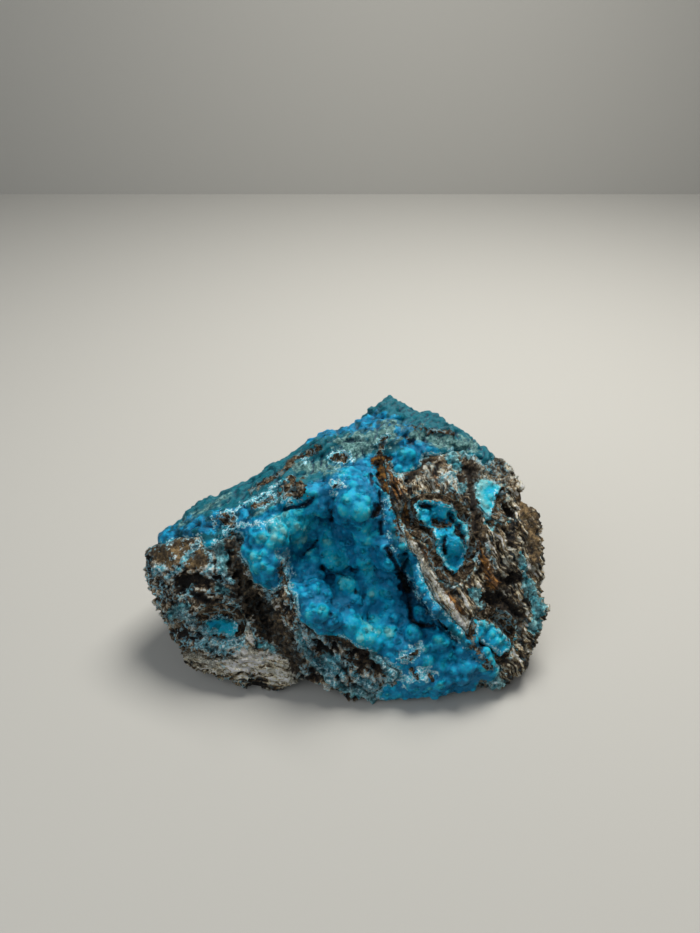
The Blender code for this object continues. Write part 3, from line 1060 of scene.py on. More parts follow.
@dataclass(frozen=True)
class HemimorphiteFinish:
    """Waxy hemimorphite: azure, lifted toward pale green on its tops by painted light and darkened in its
    hollows, creases and caves by painted shade; dark teal on its slope.
    """

    earth: Earth = field(default_factory=Earth)
    shade_colour: Colour = (0.0, 0.022, 0.055)
    navy: Colour = (0.0, 0.15, 0.30)
    azure: Colour = (0.0, 0.29, 0.50)
    lagoon: Colour = (0.0, 0.36, 0.48)
    celadon: Colour = (0.11, 0.42, 0.45)
    deep_teal: Colour = (0.0, 0.052, 0.075)
    sea_teal: Colour = (0.0, 0.12, 0.16)
    moss: Colour = (0.045, 0.13, 0.12)
    lichen: Colour = (0.20, 0.38, 0.38)
    rime: Colour = (0.62, 0.74, 0.76)
    amber: Colour = (0.050, 0.026, 0.009)
    gold: Colour = (0.24, 0.115, 0.022)
    roughness: float = 0.42
    broken_roughness: float = 0.85
    specular: float = 0.2
    glow: float = 0.10
    glow_reach: tuple[float, float, float] = (0.4, 1.0, 1.2)
    slope_turn: float = -33

    def material(self) -> Material:
        """Makes the material: globules with painted light on their crowns, the slope, painted shade,
        painted glints, rime and broken ground.

        Returns:
            The material.
        """
        nodes = Nodes("hemimorphite")
        mottle = nodes.noise(2.2, detail=6, rough=0.62)
        sugar = nodes.noise(0.4, detail=4, rough=0.65)
        fleck = nodes.noise(0.9, detail=8, rough=0.72, bend=0.5)
        age = nodes.total(nodes.note(Bloom.AGE), nodes.product(nodes.centred(mottle), 0.8))
        off_slope = nodes.band(nodes.note(Bloom.SLOPE), 0.9, 0.3)
        pearly = nodes.product(off_slope, nodes.band(mottle, 0.40, 0.55))
        # Pearls: cells that the bump raises, whose tops the ramp below also paints paler as painted light.
        pearls = nodes.product(nodes.band(nodes.cells(1.9), 0.55, 0.05), pearly)
        # Painted light and shade: crowns are lifted toward pale green and the rest is lowered toward navy.
        crown = nodes.band(nodes.note(Bloom.CROWN_LIGHT), 0.0, 1.8, -0.15, 0.2)
        colour = nodes.ramp(
            nodes.total(age, nodes.total(crown, nodes.product(pearls, 0.25))),
            (0.05, self.navy), (0.32, self.azure), (0.62, self.lagoon), (0.95, self.celadon),
        )
        rusty = nodes.noise(1.3, detail=7, rough=0.7)
        rust = nodes.ramp(rusty, (0.42, self.earth.pit), (0.5, self.amber), (0.6, self.gold))
        ground = self.earth.veined(nodes, self.earth.colour(nodes, 1.5), 0.6)
        ground = nodes.mix(nodes.edge(Bloom.GOLDEN, fleck, 1.4, 0.4, 0.6), ground, rust)
        broken = nodes.edge(Bloom.BROKEN, fleck, 2.2, 0.56, 0.64)
        # Painted shade: near-black where the crust lies closed in and few rays get out.
        deep = nodes.product(nodes.band(nodes.note(Bloom.OPEN), 0.4, 0.05), 0.8)
        # Painted glints on the paler globules, in place of real highlights.
        painted_glints = nodes.product(nodes.band(sugar, 0.60, 0.68), nodes.band(age, 0.3, 0.8, 0.1, 0.5))
        coats = (
            (nodes.band(age, 0.75, 1.1, 0.0, 0.5), self.lichen),
            (self.slope_share(nodes), self.slope_colour(nodes, mottle, fleck)),
            (deep, self.shade_colour),
            # Painted shade in the creases between globules.
            (nodes.band(nodes.note(Bloom.CREASE_SHADE), 0.0, 1.5, 0.0, 0.85), self.shade_colour),
            # Painted shade in the caves and cracks and painted shadows under overhangs, near-black at their
            # middles.
            (nodes.edge(Bloom.CAVE_SHADE, fleck, 1.6, 0.25, 0.75), self.shade_colour),
            (nodes.edge(Bloom.CAVE_SHADE, fleck, 1.6, 0.55, 0.8), self.earth.pit),
            # Painted glints: specks of the rime colour that stand in for highlights.
            (painted_glints, self.rime),
            (
                nodes.edge(Bloom.RIM, fleck, 2.6, 0.52, 0.66),
                nodes.ramp(sugar, (0.42, self.lagoon), (0.64, self.rime)),
            ),
            (broken, ground),
        )
        for share, coat in coats:
            colour = nodes.mix(share, colour, coat)
        grit = nodes.product(fleck, broken)
        return nodes.finished(
            Base_Color=colour, Specular_IOR_Level=self.specular,
            Roughness=nodes.mix(broken, (self.roughness,) * 3, (self.broken_roughness,) * 3),
            Subsurface_Weight=self.glow, Subsurface_Radius=self.glow_reach, Subsurface_Scale=MM,
            Normal=nodes.bumps((mottle, 0.4), (pearls, 0.9), (fleck, 0.25), (grit, 0.9), (sugar, 0.12)),
        )

    @staticmethod
    def slope_share(nodes: Nodes) -> NodeSocket:
        """Where the crust is the smooth slope's."""
        wave = nodes.product(nodes.centred(nodes.noise(4.0)), 0.9)
        return nodes.band(nodes.total(nodes.note(Bloom.SLOPE), wave), 0.35, 0.7)

    def slope_colour(self, nodes: Nodes, mottle: NodeSocket, fleck: NodeSocket) -> NodeSocket:
        """The smooth slope's colour.

        Args:
            nodes: The material's nodes.
            mottle: A coarse noise.
            fleck: A fine noise.

        Returns:
            Dark teal, with azure and mossy stretches and fine streaks.
        """
        along = nodes.stretched((0.3, 1.4, 1.0), self.slope_turn)
        streak = nodes.noise(1.5, detail=6, rough=0.65, at=along)
        teal = nodes.ramp(streak, (0.36, self.deep_teal), (0.5, self.sea_teal), (0.66, self.deep_teal))
        blue = nodes.ramp(mottle, (0.4, self.deep_teal), (0.52, self.navy), (0.66, self.azure))
        colour = nodes.mix(nodes.edge(Bloom.AZURE, mottle, 1.4, 0.35, 0.75), teal, blue)
        moss = nodes.ramp(fleck, (0.38, self.deep_teal), (0.48, self.moss), (0.64, self.lichen))
        return nodes.mix(nodes.edge(Bloom.MOSS, streak, 2.0, 0.38, 0.75), colour, moss)


# The fin's lower edge, from the notch down to the corner.
FIN_EDGE: tuple[Place, ...] = (
    (7.5, 30), (7, 21), (8, 14), (10, 6.5), (12.5, 0.5), (15.5, -6), (18.5, -11.5), (23, -16), (28, -21.5),
    (33.5, -26.5), (36, -32),
)

# The directions on the face that run across each zone's layers.
FIN_ACROSS: Place = (0.87, 0.49)
PLATES_ACROSS: Place = (0.78, 0.62)
LEDGES_ACROSS: Place = (0.15, 0.99)
SLOPE_ACROSS: Place = (-0.54, 0.84)

# Where each tone of the rock is painted.
TONES: dict[Tone, tuple[Stroke, ...]] = {
    Tone.TAN: streaks(
        (0.7, 1, (19.5, -3), (22.5, -8), (25.5, -12)), (1.2, 1, (14, 5.5), (16.5, 3), (18.5, 1)),
        (3.2, 1, (-43, 0.5), (-38, 1)), (2.2, 1, (-35.5, -1.5), (-32.5, 0.5)),
        (1.2, 1, (24.5, 14), (28, 10.5), (29.5, 7)), (1.6, 1, (44, 14), (45, 6), (45, -1)),
        (1.5, 1, (12, 9), (14, 6.5), (16, 4.5), (17.5, 3)),
    ),
    Tone.GOLD: streaks(
        (1.7, 1, (10, 21), (11, 18), (12, 14)), (1.1, 0.9, (18.5, 1.5), (19.8, -2.5)),
        (1.3, 1, (28.5, 5), (31, 0.5), (33, -3), (34.5, -7)), (0.6, 1, (23, -8.5), (26.5, -13)),
        (0.8, 1, (26.5, 10), (27.5, 7)), (0.6, 1, (21, 19), (21.5, 16)),
    ),
    Tone.CREAM: streaks(
        (1.35, 1, (15, 2.2), (16.8, -1), (18.6, -4.2), (21, -8.5), (24.2, -12.7), (26.7, -15)),
        (0.5, 1, (27, -16), (30, -21), (33, -25)), (0.45, 0.6, (20, 21.5), (21, 18.5), (22, 15)),
        (1.4, 1, (-36, -24), (-31.5, -25.5), (-23, -25.5)), (1.8, 1, (-22.5, -23), (-14.5, -25.5)),
        (2, 1, (-23, -22), (-17, -27), (-12, -28.5)), (0.9, 1, (-23, -15.5), (-21.5, -21)),
        (0.7, 0.5, (33.5, 6), (35.5, 3.5), (34, 0.5)), (1, 0.55, (37, -8.5), (39, -10)),
    ),
    # Painted shade: near-black in the holes, the gully and the hollows of the plates, which the relief also
    # sinks.
    Tone.HOLE_SHADE: streaks(
        (0.7, 1, (-6, -20.5), (-3, -22)), (0.7, 1, (1.5, -23.5), (4, -25.5)),
        (0.8, 1, (-7.5, -26), (-6.5, -28)), (1.5, 1, (-39, -6), (-35, -5.2), (-32, -6)),
        (1, 1, (-35, -8.5), (-31.5, -10), (-29, -12.5)),
        (0.5, 0.7, (-24.8, -4), (-24.3, -7), (-23, -10), (-21, -13)),
        (1.3, 0.75, (-8, -15.5), (-5.5, -17.5), (-1.5, -19), (2.5, -20.5), (5, -24)),
        (1.2, 1, (2.5, -19.5), (4.5, -22), (3.5, -26)), (0.9, 1, (-6.5, -19.5), (-4, -21.5)),
        (0.9, 1, (6, -24), (8, -26)), (0.7, 1, (-1, -24.5), (0.5, -26.5)),
        (1.2, 1, (27.6, 18.4), (27.8, 17.6)), (1, 1, (14.5, 17.5), (18, 21), (21.5, 23.5)),
        (2.2, 1, (33.5, -10), (36.5, -11.5), (39, -13.5)), (1.5, 1, (38, 11), (40, 10)),
        (1.3, 0.8, (29.6, 20.5), (29.4, 15.5), (30, 9.5), (29.8, 4.5)),
        (1.2, 0.7, (37.5, 5.8), (33.5, 7.5)), (2.4, 1.3, (-9, -29.5), (-8, -31.5)),
        (2.2, 1.3, (-2.5, -33.2), (0, -34)), (1.4, 1, (38, -6), (40.5, -5)),
        (1, 1, (32.5, -21.5), (34, -23), (37, -24.5)),
    ),
    Tone.EARTH: streaks(
        (1.3, 1, (-12, -21), (-11.5, -25), (-11, -30)),
        (2.4, 1, (-25.5, 2), (-24.5, -5), (-22, -10), (-19, -15), (-15.5, -19), (-12.5, -23)),
        (1.6, 1, (-22, -9), (-17, -13), (-13.5, -18)), (3, 1, (34, -7), (37, -12), (39, -16)),
        (1.4, 1, (15, 19), (18, 22), (21.5, 24)), (2.2, 0.8, (30, 21), (30.5, 12), (31, 4)),
        (0.45, 1, (13.2, 3.5), (15.2, -1.2), (17, -5), (19.3, -9.2), (22.4, -13.2), (25.5, -16.2)),
        (0.9, 1, (17.8, 2), (20.5, -2.5), (22.5, -6.5), (24.6, -10.2), (27, -13.3)),
    ),
    Tone.TEAL: streaks(
        (1.5, 1, (-29.5, 3.5), (-28, 0.5), (-27.5, -3)), (1.1, 1, (-28.5, -7), (-27, -8)),
        (1, 1, (-36, -11.5), (-38.5, -12.5), (-41, -14)), (1.3, 1, (-32.5, -17.5), (-25, -19.5)),
        (0.8, 1, (-19.5, -20.5), (-16.5, -21.5)), (1.4, 1, (29, 24.5), (31.5, 24.5)),
        (1.3, 1, (26.5, 26.5), (25.8, 23), (26.8, 21)), (1.3, 0.75, (25.5, 19), (28, 16), (26.5, 14.5)),
        (2, 1, (33, 15.5), (33.2, 12), (34.5, 8)), (1.5, 1, (30, -8.5), (31.5, -11.5)),
        (1.6, 1, (28.5, -18), (31.5, -17)), (1.7, 1, (43.5, -7), (46, -12.5), (44.5, -17)),
        (0.8, 1, (41.5, 0.5), (42.5, -8.5)), (1.5, 1, (31.5, -25), (36, -29.5)),
        (1.6, 1, (2.5, -31.5), (6, -33)), (1.5, 1, (-4, -22.5), (-1.5, -25.5), (-5.5, -24.5)),
        (2.2, 1, (7.5, -23), (11.5, -26), (12, -30)),
        (0.9, 1, (-10.5, -17.5), (-8.5, -22.5), (-4, -27.5), (1, -31)),
    ),
    Tone.PALE: streaks(
        (1.5, 0.75, (-37, -13.5), (-33.5, -16), (-31, -18.5)), (1.3, 0.8, (-33, -20.5), (-28, -22.5)),
        (1, 0.8, (-27, -10), (-24.5, -11.5)), (0.6, 0.8, (28, 12), (29, 9.5)),
        (0.9, 0.8, (22, 17), (25, 19), (27.5, 17)), (0.7, 0.8, (33, 2), (34.5, -2)),
        (0.9, 1, (-33.5, 4), (-34.5, 1.5), (-36.5, -0.5), (-38, -3), (-41, -5)),
        (0.7, 1, (-31, 0.5), (-30, -2), (-31, -3.5), (-34, -5.5), (-36, -8), (-37.5, -9.5)),
        (0.6, 1, (-29, -2.5), (-27.5, -5), (-25.5, -6)), (1.3, 1, (-45, -4), (-43, -3)),
        (0.5, 1, (-33, -14), (-29, -13), (-25, -14)),
        (1.7, 0.8, (-32, -19.5), (-27.5, -20.5), (-24, -20.5)),
        (0.9, 0.8, (24.5, 17.5), (25, 15), (26.5, 14)), (0.7, 0.8, (23, 19.5), (22.5, 16.5)),
        (0.7, 1, (34.5, 18.5), (35, 14), (36.5, 9)), (1.5, 1, (-3, -23), (0, -26), (-4, -26)),
        (0.9, 1, (-9.5, -19), (-6.5, -24), (-2, -29)), (1.6, 1, (8, -24), (12, -28)),
        (0.6, 0.9, (-10.5, -16), (-4.5, -18), (1, -21)), (1.5, 0.9, (2.5, -26.5), (6.5, -30)),
        (0.8, 1, (29.5, 25.5), (33, 22), (36, 20)),
    ),
}

# Where the crust is broken down to the rock.
BROKEN = streaks(
    (2.4, 1, (-13, 15.3), (-10.8, 14.8)), (1.3, 1, (-28.5, 8.2), (-26.5, 7.8)),
    (0.9, 1, (-6.5, 25), (-9.5, 24), (-13, 22.5), (-14.5, 20), (-16.5, 18.5), (-19.5, 17), (-22.5, 15)),
    (0.6, 1, (-21, 11), (-17, 13)), (0.8, 1, (-2, 15), (-1.4, 15.4)), (1, 1, (-2.4, 23), (0, 22.8)),
    (0.7, 1, (-14, -1.5), (-14.3, -3.5), (-13.5, -6)), (0.9, 1, (-14, -10), (-13, -10)),
    (0.9, 1, (17.5, 31), (20.5, 30), (24, 30), (26.5, 29.5)), (0.7, 1, (14.8, 28.2), (15.2, 28)),
    (0.7, 1, (14, -22.8), (16, -21.8)), (0.9, 1, (9.8, -26.5), (11.5, -28.8)),
    (0.7, 1, (15.3, -25.5), (16.3, -27.2)), (0.6, 1, (19, -27), (20, -28.2)),
    (0.8, 1, (27.5, -17.5), (30.5, -22), (33.5, -26)), (0.9, 1, (-25.5, 4.5), (-24.5, 1)),
    (0.8, 1, (8, 23.5), (8.5, 25), (9.5, 27.5)), (1, 1, (20.8, 7.4), (22.5, 6.8), (24.6, 7.2)),
    (1.9, 1, (8.4, 22.6), (9.2, 20), (10, 17.5), (10.9, 15)), (1.3, 1, (11.5, 13), (12.4, 10.5), (13.6, 7)),
    (1, 1, (12, 7), (13, 4)), (1.3, 1, (13.5, 12.5), (16, 14), (20, 14.4), (24, 13.4), (27, 11), (29, 8.5)),
)

# Where that rock is rusty.
GOLDEN = streaks(
    (2.2, 1, (8.4, 22.8), (9.4, 19.8), (10.6, 16.8), (11.4, 14.5)),
    (1.4, 1, (11.6, 12.8), (12.5, 10.5), (13.8, 7)),
)

# Where the crust is rimed with fine pale crystals.
RIMED = streaks(
    (3, 1, (-12.5, 14.5), (-11.5, 14.5)), (2.2, 1, (-28, 8), (-26.8, 7.8)),
    (0.7, 1, (-30, 8), (-27, 9), (-23.5, 12), (-20.5, 13), (-16.5, 16), (-12.5, 18)),
    (1.2, 1, (-20, 11.5), (-16.5, 13.5)), (1.8, 1, (-2.2, 14.8), (-1.4, 15.4)),
    (1.9, 1, (-2.2, 23), (0, 22.8)), (1.5, 1, (-14, 0), (-13.5, -6), (-12, -11)),
    (0.9, 1, (-25.5, 6), (-23, 7), (-19, 7), (-15.5, 8)), (1.8, 1, (14, -23), (16.5, -21.5)),
    (1.9, 1, (9, -25.5), (14, -27.5), (19, -26.5)), (1.2, 1, (-11, 23.5), (-9, 22.5)),
    (1.3, 1, (8, 23.5), (8.5, 25), (9.5, 27.5)), (0.6, 1, (20.5, 4), (22.5, 3.6), (24.5, 4.4), (26, 5.5)),
    (0.5, 1, (15, 9.5), (16, 11.7), (18, 12.2), (20, 12.2), (23, 11.2), (25.5, 9.3), (27, 7)),
    (0.5, 1, (15.5, 7.5), (18, 6.2), (20.5, 3), (21, 0), (22.5, -2.5)),
)

# Where it is pale and mossy.
MOSSY = streaks(
    (3, 1, (0.5, 26), (5, 25.5), (10.5, 29.5)), (1.8, 1, (-11, 21), (-5, 20.5), (0, 19)),
    (2.2, 1, (18, 29), (25, 27.5), (31, 27)), (1.2, 0.7, (-20, 9), (-10, 17)),
    (2.2, 0.8, (3, -16), (9, -18), (12, -20)), (1.5, 0.6, (-39, 7), (-28, 14)),
    (1.2, 0.7, (5.5, 6), (6.5, -4), (9, -8)), (2.6, 0.8, (-19, 3), (-14, 6.5), (-9, 8)),
    (2, 0.6, (-19.5, -1), (-17, -3)), (1.8, 1, (32.5, 19), (32.3, 12)), (2, 1, (33, -24), (36, -28)),
    (1.6, 0.6, (-4, 0), (-2, -1)), (1.8, 0.6, (0, -6), (1.5, -7)),
)

# Where it is a deeper blue.
DEEP_BLUE = streaks(
    (4, 1, (-11, -5), (-6, -9), (-2, -12)), (2.5, 1, (-2, 9), (1, 5), (3, 0)),
    (2.2, 1, (-44, 4), (-34, 7), (-24, 9.5)), (4, 1, (14, -17), (20, -24), (26, -28)),
    (2, 1, (13.5, 27), (17, 26.5), (20, 25.5)), (1.5, 1, (-5, 20), (2, 21)),
    (3, 1.6, (10, 0), (15, -10), (20, -16)), (1.3, 1.6, (7.6, 14), (8.4, 9), (9, 3.5)),
    (2, 1, (-10, 29), (0, 32), (8, 34)), (3, 0.9, (4, 31), (10, 31.5), (14, 30)),
)

# Where it lies in more shade than its shape gives.
SHADED = streaks(
    (0.9, 1, (7.4, 14), (7.9, 9.5), (8.9, 4), (10.3, 0.5), (12.8, -3.2), (15.2, -8), (17.5, -12.5)),
    (2, 1, (15.8, 27), (18, 25), (20.5, 25.5)), (1.6, 0.7, (-4, 10), (-2, 8)),
    (2, 0.5, (9.5, -3), (12.5, -9), (14, -13)), (2.5, 1, (12.5, 23), (16, 22.5)),
    (2.2, 0.6, (-17.5, 9), (-14, 9.5)),
)

# Where the fin's flank takes the slope's darker teal and smoother look.
FLANK = streaks(
    (1.7, 1, (8.6, 14), (10, 8), (11.5, 3), (13.5, -1.5), (16, -6.5), (19, -11.5), (23, -15.5),
     (28, -20.5)),
)

# Where painted light makes it paler and less shaded than its shape gives.
LIT = streaks(
    (2.5, 1, (-12.5, 3), (-12.2, -2)), (2.5, 1, (-6.5, 6), (-4, 5)), (2.5, 1, (-13, -1), (-11.5, -2)),
    (3, 1, (20, -23), (23, -25)), (2, 0.7, (6, 5), (7, 0)),
)

# The bowls of the pockets.
BOWLS = streaks(
    (1.6, 1, (18, 9), (21, 9.5), (24, 8)), (1.7, 1, (25, 3), (25.7, 0)),
    (1.6, 1, (-30, -15.6), (-26.5, -15.8)), (1.4, 1, (33, -17), (36.5, -20)),
    (1.5, 1, (35.5, 18), (35, 14)),
)

# The mounds of the crust, whose strengths are their heights.
MOUNDS = streaks(
    (3.2, 1.6, (-17, 5), (-13, 7), (-10.5, 8)), (2.6, 1.2, (-20, -1), (-17, -2.5)),
    (2.2, 1.3, (-7.2, -0.5), (-7.4, 0.5)), (2.8, 2, (-4, 0.2), (-1.5, -0.8), (0, -1)),
    (1.6, 1.4, (-4.5, 3.3), (-2.5, 2.6)), (2.2, 1.5, (2.1, 7), (3.9, 5.2)),
    (1.8, 1.7, (3.9, 5.2), (4.3, 1.5), (3.9, -1.7), (5.2, -4.9), (6.3, -8.9)),
    (2.6, 2.2, (0, -6.6), (1.2, -7)), (3.2, 1.2, (-8.5, -7), (-5, -9.5)), (2.4, 1.2, (0, -10), (3, -11)),
    (2, 1.4, (-7, -12.5), (-3.6, -13.5)), (2.8, 1.3, (2.5, -15), (6.5, -17)),
    (2.6, 1.2, (10, -18), (13, -20)), (3.4, 1.2, (2.5, 11), (5, 10)),
    (3.2, 1.4, (-10, 13.5), (-12.5, 15.5)), (2.2, 1.2, (16.5, -18), (18, -20)),
    (1.8, 1.2, (13.2, 25.5), (14, 23)),
)

# The dells between them, whose strengths are their depths.
DELLS = streaks(
    (1.6, 2.2, (-3.4, 10), (-2, 8.2)), (1.2, 1.8, (-5.8, 5.2), (-7.8, 2.6), (-9.8, 0.2)),
    (1.4, 1.8, (-7.5, -3.6), (-5, -4)), (1.1, 2, (-1.9, -4), (1, -4.2), (3.2, -5.6)),
    (1.3, 1.2, (7.4, 2.5), (7.6, -2), (8.6, -7)), (0.9, 1.2, (1.2, -0.6), (1.9, -3.6)),
    (0.9, 1.2, (-2.6, -9), (-2.8, -13)), (1.4, 1.2, (-11.5, -1), (-12, -6)),
    (2, 1.8, (13.5, -5), (15, -9), (15.5, -14)), (1.2, 1.4, (17, -15.5), (22, -16)),
    (2, 2, (16.5, 27), (18, 25), (20.5, 24.8)),
)

# The caves and cracks, sunk into the crust and painted near-black as painted shade; some are painted
# shadows under overhangs.
CAVES_AND_SHADOWS = streaks(
    (0.35, 1, (6, 18.5), (6.2, 16)), (0.3, 1, (7.8, 14.5), (8, 12)), (1, 1, (7.8, 11), (6.9, 9.2)),
    (0.35, 1, (8.2, 7.5), (8.4, 5)), (0.55, 1, (9.6, 1.5), (11.2, -1.2), (12.4, -3.4)),
    (1.15, 1, (12.8, -4), (13.5, -6), (14.6, -8)), (0.5, 1, (15.2, -11), (15.5, -14.5)),
    (0.55, 1, (15.6, -15), (18, -16.2), (20.5, -16.2)), (0.3, 1, (24, -17.5), (25.5, -19.3)),
    (0.5, 1, (-13.5, 10.5), (-11, 10.8), (-9, 11.5), (-7, 12.8)), (0.9, 0.7, (-12.6, 14.6), (-11.2, 14.4)),
    (0.4, 1, (-2.8, 9.8), (-3.1, 8.2)), (0.25, 1, (-6.4, 3.5), (-7.8, 1.9), (-8.9, 1.1)),
    (0.5, 1, (-5.3, -2.7), (-5, -3.3)), (0.3, 0.8, (-3.9, -3.8), (-1, -4.4), (2.2, -5.6)),
    (0.25, 1, (2.4, -8), (2.5, -8.5)), (0.25, 1, (-3, -12.7), (-3, -13)),
    (0.3, 1, (-16.2, -7.6), (-14.5, -8)), (1, 1, (26, 6.2), (26.8, 4.2)), (1.2, 1, (8.8, 21), (8.6, 16)),
    (0.7, 1, (17.6, 11.2), (19.5, 11)), (0.6, 1, (24.2, 9.4), (25.2, 7.8)),
    (0.7, 1, (-31, -14.4), (-28.5, -13.7), (-26, -14.6)), (0.6, 1, (22.9, 3.9), (22.4, 2), (23, 0.5)),
    (0.45, 1, (27.4, 4.8), (27.5, 2)),
)

# The fin's rimed edge, on which no globule grows.
(FIN_RIM,) = streaks(
    (0.5, 1, (7, 19), (8.6, 15), (9.3, 12), (8.8, 9), (9.8, 6.5), (10, 4), (11.2, 1), (13.9, -3),
     (16, -7.5), (18, -11), (20, -13.7), (23.2, -16.7), (27, -20.5), (30.5, -24)),
)

# The pockets' edges.
TWIN_OUTLINE = Outline((
    (15.8, 11.3), (17, 12.3), (19.4, 12.3), (22.1, 12.1), (23.9, 11.3), (25.4, 10.4), (26.9, 7.9),
    (28.1, 6.7), (28.3, 4.5), (28.1, 1.4), (27.2, -2.2), (24.8, -3.7), (22.8, -2.2), (21, 1.2), (20.7, 3.6),
    (20, 6.1), (17.9, 7), (16.4, 8.3), (15.8, 10.1),
))
SHOULDER_OUTLINE = Outline((
    (33, 21.5), (31.5, 18), (30.8, 14), (31.8, 10), (33.5, 8.5), (35, 11), (36, 14), (38, 17), (39, 21),
))
CORNER_OUTLINE = Outline((
    (29.5, -14.5), (32.5, -15.2), (34.5, -16), (37, -18.5), (38.7, -21), (36, -22.7), (32.5, -20.5),
    (30, -18.5),
))
CHEEK_OUTLINE = Outline((
    (-32.8, -16), (-32, -14.8), (-28.5, -13.6), (-25.5, -14.8), (-24.6, -17), (-26, -18.6), (-29, -18.2),
    (-32, -18.8),
))


@dataclass(frozen=True)
class Bead:
    """A globule with a place of its own on the face."""

    place: Place
    radius: float
    tone: float


# Each bead's place across and up the face, its radius and its tone.
BEADS = tuple(Bead((x, y), radius, tone) for x, y, radius, tone in (
    (-7, -1.5, 1.7, 0.45), (-2, -1.5, 2.9, 0.5), (-3.5, 0, 1.3, 0.8), (-1, -1.2, 0.8, 0.9),
    (1, -1, 1.1, 0.5), (0.5, 1.5, 1.2, 0.45), (-4, 5, 1.3, 0.35), (-5, 7.5, 1.2, 0.3), (-7.5, 8, 1.2, 0.3),
    (-1.5, 6, 1.8, 0.1), (3, 7, 1, 0.95), (3, 4.5, 1.2, 1), (4.5, 6, 1.2, 0.65), (0.5, -7, 2.4, 0.55),
    (4.5, -2.5, 1.2, 0.95), (6, -4.5, 0.8, 0.8), (5, -6.5, 1.2, 0.6), (6.5, -9, 1.4, 1),
    (-10.5, 9.5, 1.6, 0.45), (-11.5, -0.5, 1, 0.3), (-4.5, -9, 2, 0.25), (-6.5, -8, 1.8, 0.4),
    (2, -10.5, 2.2, 0.15), (-1.5, -11.5, 1.8, 0.2), (-0.5, -14, 1.2, 0.8), (-7.5, -13, 1.4, 0.8),
    (-11, 6.5, 1.2, 0.95), (-14.5, 5.5, 1.6, 0.7), (-8.5, 4.5, 1.9, 0.75), (-14.5, 3.5, 1, 0.6),
    (-12, 3.5, 1, 0.8), (-10.5, 2, 0.9, 0.8), (-4, 3, 1.4, 0.65), (3.5, 2, 1.2, 0.6), (3.5, 9.5, 2.4, 0.65),
    (0, 10, 1.6, 0.8), (1, 12, 2, 0.55), (9.5, -8.5, 2.4, 0.4), (10, -2, 2, 0.2), (5.5, 3.5, 1.5, 0.45),
    (-5, -12.5, 2, 0.6), (1.5, -15.5, 2.2, 0.35), (6.5, -15, 1, 0.9), (10, -18, 1.7, 0.9),
    (13.5, -15, 1.1, 0.35), (16.5, -18, 1.6, 0.35), (10.5, -11.5, 1.2, 0.7), (19, -13, 0.9, 0.7),
    (17.5, -13, 1.9, 0.2), (21, -19, 1.5, 0.55), (18.5, -23.5, 2.2, 0.45), (3.5, -18.5, 1.2, 0.8),
    (-1.5, -12, 1.1, 0.35), (24.5, -23.5, 1, 0.85), (23.5, -22.5, 2, 0.3), (22, -25, 1.8, 0.3),
    (15.5, -17.5, 2, 0.4), (20.5, -14, 1.8, 0.15), (27.5, -25, 2.2, 0.35), (33.5, -18, 0.9, 0.7),
    (37.5, -22, 0.8, 0.95), (35, -19.5, 1, 0.6), (32, -16, 1.1, 0.5), (25.5, 2.5, 2.2, 0.2),
    (23, 9.5, 1.5, 0.3), (20.5, 9.5, 1.3, 0.35), (18, 8, 1.2, 0.4), (16.5, 9.5, 1.1, 0.45),
    (14, 24, 1.6, 0.55), (18, 26, 1.4, 0.2), (17, 23, 1.3, 0.25), (20.5, 26, 1.3, 0.15),
    (23, 29.5, 1.3, 0.7), (13, 27, 1.2, 0.7), (13.5, 29, 1, 0.4), (35, 17, 1.2, 0.5),
    (34.5, 13.5, 1.1, 0.6),
))


@dataclass(frozen=True)
class Ground:
    """The rock's zones and the noises that its relief and its tones share, at every vertex."""

    points: np.ndarray
    bent: np.ndarray
    ragged: np.ndarray
    ridges: np.ndarray
    facing: np.ndarray
    right: np.ndarray
    plates: np.ndarray
    ledges: np.ndarray
    plate_layers: np.ndarray
    gap: np.ndarray

    @classmethod
    def of_rock(cls, work: Workpiece, crust: BVHTree) -> "Ground":
        """Looks over the smooth rock.

        Args:
            work: The rock.
            crust: All crusts' surfaces.

        Returns:
            The ground: its right block, the plates under the basin, the ledges at its foot and the rest.
        """
        points = work.points()
        x, y, z = points.T
        edge_x = np.interp(-y, [-height for _, height in FIN_EDGE], [across for across, _ in FIN_EDGE])
        right = ease(x - edge_x, 0, 2)
        bent = points + 0.7 * np.stack([ripple(points, 2.4, seed) for seed in (3, 4, 5)], axis=1)
        return cls(
            points=points,
            bent=bent,
            ragged=fractal(points, 1.6, 3, seed=2),
            ridges=1 - np.minimum(np.abs(fractal(points, 2.4, 3, seed=22)) / 0.22, 1),
            facing=ease(work.normals()[:, 2], -0.25, 0.15) * ease(z, -6, -3),
            right=right,
            plates=ease(x, -13, -10) * ease(y, -14, -17) * (1 - right),
            ledges=ease(y, -21, -24) * (1 - right) * ease(x, -9, -12),
            plate_layers=strata(bent, PLATES_ACROSS, 2.3, 1.0, 8),
            gap=distances(points, crust, 3.0),
        )

    def left(self) -> np.ndarray:
        """The share of the left block."""
        return (1 - self.right) * (1 - self.plates) * (1 - self.ledges)

    def phase(self) -> np.ndarray:
        """How far across its zone's layers each vertex lies.

        Returns:
            The lengths in millimetres.
        """
        ways = np.array([(*way, LAYER_DIP) for way in (FIN_ACROSS, PLATES_ACROSS, LEDGES_ACROSS)])
        block, plates, ledges = (self.bent @ ways.T).T
        gully = ease(self.ledges + self.plates, 0.0, 0.3)
        return (1 - gully) * block + self.plates * plates + self.ledges * ledges

    def patches(self, size: float, seed: int, low: float, high: float) -> np.ndarray:
        """Broad patches, from 0 outside them to 1."""
        return ease(fractal(self.points, size, 2, seed=seed), low, high)


